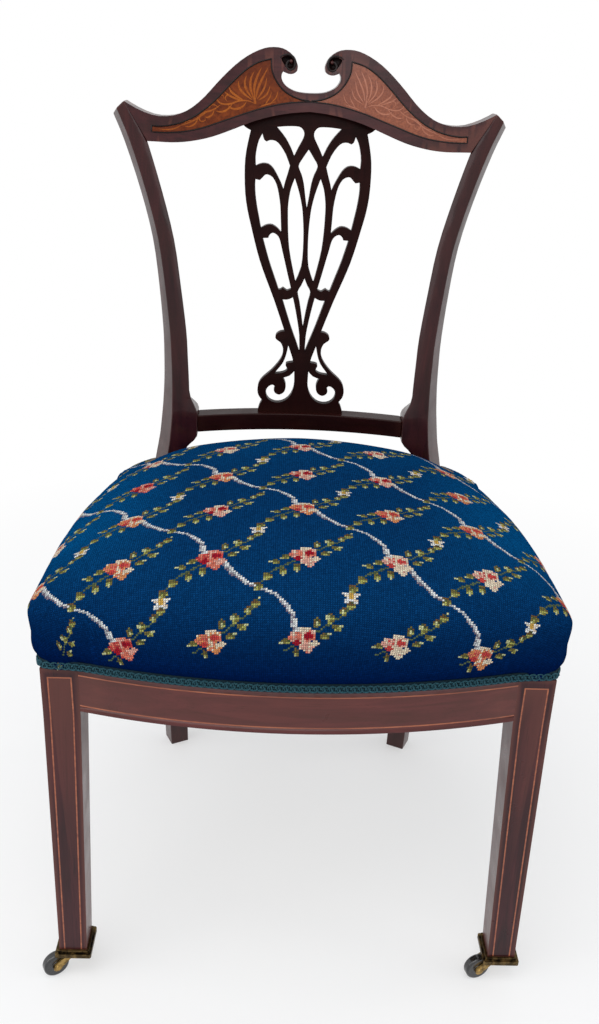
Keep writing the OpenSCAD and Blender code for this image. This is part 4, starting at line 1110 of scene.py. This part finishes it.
# A rose is drawn petal by petal: middle, half width, half height, tone of its wool
rosePetals = [
    (-3.1, 0.7, 3.1, 3.3, 1), (2.6, 2.0, 3.3, 3.3, 1), (0.2, -0.6, 3.0, 2.6, 1), (1.8, -3.5, 3.3, 2.9, 2),
    (0.9, 4.7, 2.4, 1.25, 3), (2.9, -6.0, 1.7, 1.2, 2), (5.5, -2.1, 1.9, 1.25, 3), (-4.4, 2.6, 1.3, 1.2, 2),
    (-2.5, -1.9, 1.7, 1.5, 0), (2.2, 1.5, 1.9, 1.6, 0), (0.0, 1.2, 0.9, 2.6, 3), (-3.8, 0.4, 0.6, 1.6, 2),
    (3.2, -3.0, 0.8, 1.8, 3), (4.2, 3.4, 1.2, 1.0, 2),
]
roseWools = [("crimson", "red", "salmon", "pink"), ("crimson", "salmon", "pink", "cream"),
             ("red", "salmon", "orange", "cream"), ("red", "pink", "cream", "cream")]


def roseStitch(x, y, kind):
    found = None
    for px, py, rx, ry, tone in rosePetals:
        if ((x - px) / rx) ** 2 + ((y - py) / ry) ** 2 <= 1.0:
            found = tone
    if found is None:
        return None
    # A lighter or a darker stitch here and there, as in hand shading
    chance = scatter(x, y, 3 + kind)
    if found and chance < 0.22:
        found = min(3, found + 1)
    elif chance > 0.90:
        found = max(0, found - 1)
    return roseWools[kind][found]


def flowerStitch(x, y):
    # A small white flower with five petals
    r, angle = math.hypot(x, y), math.atan2(y, x)
    if r < 1.2:
        return "yolk"
    if r > 3.1 + 1.1 * math.cos(5 * angle - 1.5708):
        return None
    return "cream" if scatter(x, y, 5) < 0.3 else "white"


# Leaves of a sprig: middle, half width, half height, and where the bright stitch at the tip stands
leavesUp = [(5.7, 7.6, 1.6, 2.4, (0, 0)), (9.6, 1.9, 1.9, 1.6, (2, 1)), (11.6, 10.4, 1.6, 2.5, (-1, 0)),
            (14.6, 6.2, 1.9, 1.7, (2, 1)), (17.2, 13.4, 1.5, 1.9, (0, 0)), (20.4, 16.6, 2.3, 1.6, (2, 2))]
leavesDown = [(-7.8, -1.0, 1.9, 1.5, (-2, -1)), (-3.0, -7.4, 1.5, 2.1, (0, -2)),
              (-12.4, -4.2, 1.7, 1.6, (-2, 0)), (-9.2, -9.6, 1.6, 2.1, (0, -2)),
              (-15.8, -12.2, 1.9, 2.1, (-1, -2)), (-19.6, -17.2, 1.9, 1.8, (-1, -2))]
leavesFoot = [(-7.6, -1.4, 2.0, 1.5, (-2, -1)), (-2.6, -7.2, 1.4, 2.2, (0, -2))]
stemUp = [(4.4, 3.0), (6.8, 4.2), (9.4, 6.2), (11.6, 7.8), (15.6, 10.8), (19.0, 14.6)]
stemDown = [(-3.6, -3.8), (-5.8, -4.8), (-8.8, -6.6), (-12.2, -8.6), (-14.6, -10.4), (-18.0, -15.0)]
stemFoot = [(-3.6, -3.8), (-5.8, -4.8), (-7.8, -6.2)]
# A ribbon's line, in repeats across and down from its upper rose
ribbonPath = [(0.02, -0.02), (0.14, -0.07), (0.25, -0.23), (0.41, -0.37), (0.57, -0.44), (0.70, -0.51),
              (0.82, -0.63), (0.89, -0.74), (0.91, -0.86), (0.96, -0.97)]
ribbonLine = [(u * repeat["across"], v * repeat["down"]) for u, v in ribbonPath]


def besideSegment(x, y, a, b):
    ex, ey = b[0] - a[0], b[1] - a[1]
    length = math.hypot(ex, ey)
    t = clamp(((x - a[0]) * ex + (y - a[1]) * ey) / (length * length))
    return math.hypot(x - a[0] - ex * t, y - a[1] - ey * t), t


def leafStitch(x, y, leaf):
    px, py, rx, ry, tip = leaf
    dx, dy = x - px, y - py
    if abs(dx - tip[0]) < 0.6 and abs(dy - tip[1]) < 0.6:
        return "tip"
    if (dx / rx) ** 2 + (dy / ry) ** 2 > 1.1:
        return None
    chance = scatter(x, y, 8)
    if dy < -0.2:
        return "lime" if chance < 0.7 else "olive"
    return "moss" if chance < 0.25 else "olive" if chance < 0.75 else "bronze"


def stemStitch(x, y, line):
    onStem = any(besideSegment(x, y, a, b)[0] < 0.48 for a, b in zip(line, line[1:]))
    return "stem" if onStem else None


def ribbonStitch(x, y):
    # x runs right and y towards the back, from a ribbon's upper rose
    for k, (p, q) in enumerate(zip(ribbonLine, ribbonLine[1:])):
        away, t = besideSegment(x, y, p, q)
        if away <= 0.62 + 0.85 * abs(math.cos(math.pi * (k + t) / (len(ribbonLine) - 1))) ** 1.2:
            side = (q[0] - p[0]) * (y - p[1]) - (q[1] - p[1]) * (x - p[0])
            if side < 0 and away > 0.3:
                return "mauve" if scatter(x, y, 12) < 0.6 else "silver"
            return "white" if scatter(x, y, 11) < 0.62 else "silver"
    return None


def sprigStitch(x, y, foot):
    # The sprigs of the front row are cut short below their roses
    for leaf in leavesUp + (leavesFoot if foot else leavesDown):
        found = leafStitch(x, y, leaf)
        if found:
            return found
    return stemStitch(x, y, stemUp) or stemStitch(x, y, stemFoot if foot else stemDown)


def stitchColour(column, row):
    # column and row count stitches from the middle column and from one row of roses
    across, down, last, first = (repeat[k] for k in ("across", "down", "lastRow", "lastRowFrom"))
    rose, ribbon = repeat["roseReach"], repeat["ribbonReach"]
    i0, j0 = round(column / across), round(row / down)
    near = [(i0 + di, j0 + dj) for dj in (0, 1, -1) for di in (0, 1, -1)]
    near = [(i, j) for i, j in near if j > last or j == last and first <= i <= repeat["lastRowTo"]]
    for i, j in near:
        x, y = column - i * across, row - j * down
        if abs(x) <= rose and abs(y) <= rose and (i, j) != (first, last):
            found = roseStitch(x, y, int(scatter(i, j, 21) * 4))
            if found:
                return found
    for i, j in near:
        x, y = column - i * across, row - j * down
        onRibbon = (i + j) % 2 == 1
        found = flowerStitch(x - across / 2, y - down / 2) if onRibbon else None
        if not found and abs(x) < repeat["sprigAcross"] and abs(y) < repeat["sprigDown"]:
            found = sprigStitch(x, y, j == last)
        nearRibbon = -ribbon < x < across + ribbon and -down - ribbon < y < ribbon
        if not found and onRibbon and j > last and nearRibbon:
            found = ribbonStitch(x, y)
        if found:
            return found
    return None


# Where painted light turns the ground lighter, each as a start and a length in mm, and how far it does
ground = {
    "top": (400, 75), "side": (110, 120), "front": (-10, 110), "back": (190, 150),
    "sideShare": 0.85, "backShare": 0.35,
}


def groundTintWithPaintedLight(x, y, z):
    # Painted light and sheen: navy at the foot and blue on top, which turns lighter towards the back and the
    # sides
    top, side, front, back = (clamp((value - ground[key][0]) / ground[key][1])
                              for key, value in (("top", z), ("side", abs(x)), ("front", y), ("back", y)))
    tint = [low + (high - low) * top for low, high in zip(wool["navy"], wool["blue"])]
    lighter = max(ground["sideShare"] * (side * front * top), ground["backShare"] * back)
    return [c + (t - c) * lighter for c, t in zip(tint, wool["teal"])]


def straightenCuts(placed, keep):
    # The cut edges beside the posts are drawn straight
    across, deep = postPlace(placed)
    halfA, halfD = seat["postHalf"]
    near = seat["cutNear"]
    nearFront = keep & (across > -halfA - 0.5) & (deep > -halfD - near) & (deep < -halfD + 0.1)
    nearInner = keep & (deep > -halfD - 0.5) & (across > -halfA - near) & (across < -halfA + 0.1)
    moveX, moveY = fromPost(np.where(nearInner, -halfA - across, 0), np.where(nearFront, -halfD - deep, 0))
    placed[:, 0] += np.sign(placed[:, 0]) * moveX
    placed[:, 1] += moveY


def buildCover():
    step, halfColumns = seat["stitch"], seat["halfColumns"]
    columnRange, rowRange = range(-halfColumns, halfColumns + 1), range(seat["rowLow"], seat["rowHigh"] + 1)
    placed, spare = wrapCanvas(np.array(
        [((i - 0.5) * step, repeat["firstRow"] + (j - 0.5) * step) for j in rowRange for i in columnRange]))
    keep = (spare > 0) & ~inPostCut(placed)
    straightenCuts(placed, keep)
    quads = gridQuads(len(rowRange), len(columnRange), keep)
    tints, corners = [], []
    for quad in quads:
        row, column = divmod(quad[0], len(columnRange))
        column, row = column - halfColumns, row + seat["rowLow"]
        found = stitchColour(column, row)
        tint = wool[found] if found else groundTintWithPaintedLight(*placed[quad[0]])
        tone = 0.80 + 0.40 * scatter(column, row, 31)
        tints += [(*(min(0.97, c * tone) for c in tint), 1)] * 4
        corners += [(column, row), (column + 1, row), (column + 1, row + 1), (column, row + 1)]
    piece = canvasPiece("needleworkCover", placed, quads)
    layer = piece.data.color_attributes.new("wool", "FLOAT_COLOR", "CORNER")
    layer.data.foreach_set("color", np.array(tints, np.float32).ravel())
    layer = piece.data.uv_layers.new(name="canvas")
    layer.data.foreach_set("uv", np.array(corners, np.float32).ravel())
    return piece


# How the cover lies on its padding and is hemmed beside the posts, in mm; hold is its share of the way
laying = {
    "gap": 1.2, "hold": 0.6, "reach": 12, "looseTo": 398, "fade": 20, "postGap": 1, "postFade": 14,
    "middle": 420, "hem": 70, "hemEnd": 384, "hemAbove": 388, "hemAcross": (-20, 60), "hemDeep": (-22, 30),
}


def layOnPadding(cover, padding):
    # Draws the cover on to the swollen padding, and leaves its foot where it is tacked
    tree = BVHTree.FromObject(padding, bpy.context.evaluated_depsgraph_get())
    places = np.array([(v.co.x / mm, v.co.y / mm + midY) for v in cover.data.vertices])
    across, deep = postPlace(places)
    clear = np.maximum(-seat["postHalf"][0] - across, -seat["postHalf"][1] - deep)
    for vertex, room in zip(cover.data.vertices, clear):
        place = vertex.co
        share = laying["hold"] * clamp((place.z / mm - laying["looseTo"]) / laying["fade"])
        share *= clamp((room - laying["postGap"]) / laying["postFade"])
        spot, normal, _, distance = tree.find_nearest(place)
        if share <= 0 or spot is None or distance > laying["reach"] * mm:
            continue
        if normal.dot(place - Vector((0, 0, laying["middle"] * mm))) < 0:
            normal = -normal
        vertex.co = place.lerp(spot + normal * laying["gap"] * mm, share)


def hemBesidePosts(cover):
    # The cut edges are turned down between the stuffing and the posts
    (acrossFrom, acrossTo), (deepFrom, deepTo) = laying["hemAcross"], laying["hemDeep"]
    work = bmesh.new()
    work.from_mesh(cover.data)
    edges = []
    for edge in work.edges:
        if len(edge.link_faces) == 1:
            middle = (edge.verts[0].co + edge.verts[1].co) / 2
            (across,), (deep,) = postPlace(np.array([[middle.x / mm, middle.y / mm + midY]]))
            beside = acrossFrom < across < acrossTo and deepFrom < deep < deepTo
            if beside and middle.z > laying["hemAbove"] * mm:
                edges.append(edge)
    for item in bmesh.ops.extrude_edge_only(work, edges=edges)["geom"]:
        if isinstance(item, bmesh.types.BMVert):
            item.co.z = max(item.co.z - laying["hem"] * mm, laying["hemEnd"] * mm)
    work.to_mesh(cover.data)
    work.free()


def needleworkMaterial():
    material, tree, shader = freshMaterial("wool tent stitch")

    def calc(operation, a, b=0.0):
        return mathNode(tree, operation, a, b)

    tint = addNode(tree, "ShaderNodeVertexColor", layer_name="wool").outputs[0]
    canvas = addNode(tree, "ShaderNodeUVMap", uv_map="canvas").outputs[0]
    apart = addNode(tree, "ShaderNodeSeparateXYZ", {0: canvas}).outputs
    u, v = (calc("SUBTRACT", calc("FRACT", apart[k]), 0.5) for k in (0, 1))
    # Each stitch is a short slanting strand with a hollow round it, painted darker as shade between the
    # stitches
    slant = calc("ABSOLUTE", calc("SUBTRACT", v, calc("MULTIPLY", u, 0.55)))
    ridge = calc("SUBTRACT", 1.0, calc("MULTIPLY", slant, 2.1))
    endGap = calc("MULTIPLY", calc("SUBTRACT", calc("ABSOLUTE", u), 0.30), 4.5)
    ridge = calc("SUBTRACT", ridge, calc("MAXIMUM", endGap, 0.0))
    height = calc("POWER", addNode(tree, "ShaderNodeClamp", {"Value": ridge}).outputs[0], 0.6)
    fluff = noise(tree, objectPlace(tree), 2600.0, 2.0, 0.7)
    lit = mixed(tree, 1.0, tint, ramp(tree, fluff, (0.3, 0.80), (0.7, 1.20)), "MULTIPLY")
    # Painted shade: the hollows between the stitches are darkened towards navy
    hollow = mixed(tree, 0.36, (0.0005, 0.0080, 0.040), tint)
    feed(tree, shader, {
        "Base Color": mixed(tree, ramp(tree, height, (0.10, 0.0), (0.55, 1.0)), hollow, lit),
        "Roughness": 0.95,
        "Specular IOR Level": 0.0,
        "Normal": bump(tree, height, 0.9, 0.0009, bump(tree, fluff, 0.25, 0.0003)),
    })
    return material


def hairMaterial():
    material, tree, shader = freshMaterial("curled hair")
    curls = noise(tree, objectPlace(tree), 320.0, 6.0, 0.75, 2.5)
    feed(tree, shader, {
        "Base Color": ramp(tree, curls, (0.3, (0.05, 0.032, 0.018)), (0.7, (0.22, 0.15, 0.085))),
        "Roughness": 0.85,
        "Normal": bump(tree, curls, 0.8, 0.002),
    })
    return material


needleworkCover = buildCover()
print("needlework:", len(needleworkCover.data.polygons), "stitches")
layOnPadding(needleworkCover, seatPadding)
hemBesidePosts(needleworkCover)
fit(needleworkCover, "chair", needleworkMaterial(), "needlework", "seat_cover")
fit(seatPadding, "chair", hairMaterial(), "stuffing", "stuffing")
print("seat dressed")


# Gimp: a flat tape with two looped cords along it, round the foot of the cover

gimp = {
    "low": 383.4, "high": 393.6, "thick": 1.0, "spacing": 4.0, "share": 0.13, "stand": 0.6,
    "sideEnd": 342, "rearFrom": 366, "rearEnd": 133,
    "cord": 0.75, "cordStand": 1.25, "cordLift": 0.35,
    "period": 6.6, "perLoop": 12, "loop": 3.3, "loopShare": 0.75,
}


def gimpRuns():
    # Lines at the cover's foot: one round both sides and the front, and one across the rear rail
    line = frameOutline(gimp["share"], gimp["stand"])
    x, y = line[:, 0], line[:, 1]
    right, left = (line[(y < gimp["sideEnd"]) & half] for half in (x >= 0, x < 0))
    return [np.concatenate([left, right]), line[(y > gimp["rearFrom"]) & (np.abs(x) < gimp["rearEnd"])]]


def alongLine(line, spacing):
    # Length of an open line, with evenly spaced places and outward normals along it
    run = np.concatenate([[0], np.cumsum(np.linalg.norm(np.diff(line, axis=0), axis=1))])
    far = np.linspace(0, run[-1], max(2, int(run[-1] / spacing)) + 1)
    x, y = np.interp(far, run, line[:, 0]), np.interp(far, run, line[:, 1])
    dx, dy = np.gradient(x), np.gradient(y)
    length = np.hypot(dx, dy)
    return run[-1], list(zip(np.column_stack([x, y]), np.column_stack([dy / length, -dx / length])))


def gimpTape(name, places):
    thick, low, high = gimp["thick"], gimp["low"], gimp["high"]
    profile = [(0.0, high), (thick * 0.7, high - 0.4), (thick, low + 5), (thick * 0.7, low + 0.4), (0.0, low)]
    return loft(name, [[drawn(spot[0] + normal[0] * out, spot[1] + normal[1] * out, z) for out, z in profile]
                       for spot, normal in places])


def gimpCord(name, line, phase, turn):
    # The cord loops back on itself as it runs along the tape
    middle = (gimp["low"] + gimp["high"]) / 2
    path = []
    for k, (spot, normal) in enumerate(alongLine(line, gimp["period"] / gimp["perLoop"])[1]):
        angle = 2 * math.pi * k / gimp["perLoop"] + phase
        along = gimp["loop"] * gimp["loopShare"] * math.sin(angle)
        out = gimp["cordStand"] + gimp["cordLift"] * math.cos(angle + 0.6)
        x = spot[0] + normal[0] * out - normal[1] * along
        y = spot[1] + normal[1] * out + normal[0] * along
        path.append(drawn(x, y, middle + turn * gimp["loop"] * math.cos(angle)))
    return tube(name, path, gimp["cord"] * mm, 4, up=Vector((0, 0, 1)))


tapes, cords, gimpLength = [], [], 0
for line in gimpRuns():
    runLength, places = alongLine(line, gimp["spacing"])
    tapes.append(gimpTape("tape", places))
    cords += [gimpCord("cord", line, 0.0, 1), gimpCord("cord", line, math.pi, -1)]
    gimpLength += runLength
gimpBraid = fit(joinPieces("gimpTape", tapes), "chair", tapeTeal, "gimp_braid", "gimp")
gimpLoops = fit(joinPieces("gimpLoops", cords), "chair", cordTealAndGlints, "gimp_braid")
print("gimp:", round(gimpLength), "mm,", len(gimpLoops.data.polygons), "faces")


# Castors and the metal under the seat

castorParts = {
    # part: body, material, easing in mm
    "plate": ("chair", darkBrass, 0.5),
    "fork": ("fork_", agedBrass, 0.5),
    "wheel": ("wheel_", wheelBlack, 0.9),
}
for side in ("left", "right"):
    for part, (body, material, easing) in castorParts.items():
        node = "castor_%s_%s" % (part, side)
        piece = mergedCopy(node, "castor" + part.title() + side.title())
        easedEdges(piece, easing)
        slotName = "castor_tread" if part == "wheel" else "brass"
        fit(piece, body if body == "chair" else body + side, material, slotName, node)
    for part in ("screws", "pin", "axle"):
        dress("castor_%s_%s" % (part, side), agedBrass)
dress("block_screws", plainSteel)
dress("webbing_tacks", bluedIron)
dress("seat_springs", springSteel)
print("castors and fixings dressed")


# Camera, light and floor

camera = {
    "place": (-0.0257, -0.972186, 0.8920), "yaw": 0.02598, "down": 0.42596, "roll": 0.0383, "lens": 35.16,
}
cameraData = bpy.data.cameras.new("camera")
cameraData.lens = camera["lens"]
cameraData.sensor_width = 36
cameraObject = bpy.data.objects.new("camera", cameraData)
bpy.context.scene.collection.objects.link(cameraObject)
cameraObject.matrix_world = (
    Matrix.Translation(camera["place"])
    @ Matrix.Rotation(-camera["yaw"], 4, "Z")
    @ Matrix.Rotation(math.pi / 2 - camera["down"], 4, "X")
    @ Matrix.Rotation(camera["roll"], 4, "Z")
)
bpy.context.scene.camera = cameraObject

lights = {
    "above": {"place": (-0.5, -1.3, 2.6), "size": 2.2, "power": 34},
    "left": {"place": (-2.2, -0.6, 1.4), "size": 1.6, "power": 14},
    "right": {"place": (2.2, -0.2, 1.5), "size": 1.6, "power": 12},
}
lightsAim = Vector((0, 0, 0.45))
for name, light in lights.items():
    data = bpy.data.lights.new(name, "AREA")
    data.size = light["size"]
    data.energy = light["power"]
    lamp = bpy.data.objects.new(name, data)
    lamp.location = light["place"]
    lamp.rotation_euler = (lightsAim - Vector(light["place"])).to_track_quat("-Z", "Y").to_euler()
    bpy.context.scene.collection.objects.link(lamp)


def directRays(tree):
    rays = addNode(tree, "ShaderNodeLightPath").outputs
    mirrored = mathNode(tree, "MAXIMUM", rays["Is Glossy Ray"], rays["Is Transmission Ray"])
    return mathNode(tree, "MAXIMUM", rays["Is Camera Ray"], mirrored)


world = bpy.data.worlds.new("studio")
bpy.context.scene.world = world
world.use_nodes = True
tree = world.node_tree
tree.nodes.clear()
soft = addNode(tree, "ShaderNodeBackground", {"Color": (0.93, 0.96, 1.0, 1), "Strength": 0.55})
white = addNode(tree, "ShaderNodeBackground", {"Color": (1, 1, 1, 1), "Strength": 1.0})
blend = addNode(tree, "ShaderNodeMixShader", {0: directRays(tree), 1: soft.outputs[0], 2: white.outputs[0]})
addNode(tree, "ShaderNodeOutputWorld", {0: blend.outputs[0]})

bpy.ops.object.select_all(action="DESELECT")
bpy.ops.mesh.primitive_circle_add(vertices=96, radius=6, fill_type="NGON", location=(0, 0, 0))
floor = bpy.context.active_object
floor.name = "floor"
floorMaterial, tree, shader = freshMaterial("pale floor")
feed(tree, shader, {"Base Color": (0.95, 0.95, 0.95, 1), "Roughness": 0.95, "Specular IOR Level": 0.1})
# The floor runs out into the white backdrop
away = addNode(tree, "ShaderNodeVectorMath", {0: objectPlace(tree)}, operation="LENGTH").outputs["Value"]
fade = ramp(tree, mathNode(tree, "DIVIDE", away, 3.0), (0.08, 0.45), (0.42, 1.0))
backdrop = addNode(tree, "ShaderNodeEmission", {"Color": (1, 1, 1, 1), "Strength": 1.0})
seen = mathNode(tree, "MULTIPLY", fade, directRays(tree))
blend = addNode(tree, "ShaderNodeMixShader", {0: seen, 1: shader.outputs[0], 2: backdrop.outputs[0]})
output = next(node for node in tree.nodes if node.bl_idname == "ShaderNodeOutputMaterial")
tree.links.new(blend.outputs[0], output.inputs[0])
floor.data.materials.append(floorMaterial)

bpy.context.scene.view_settings.view_transform = "Standard"
print("camera, light and floor set")
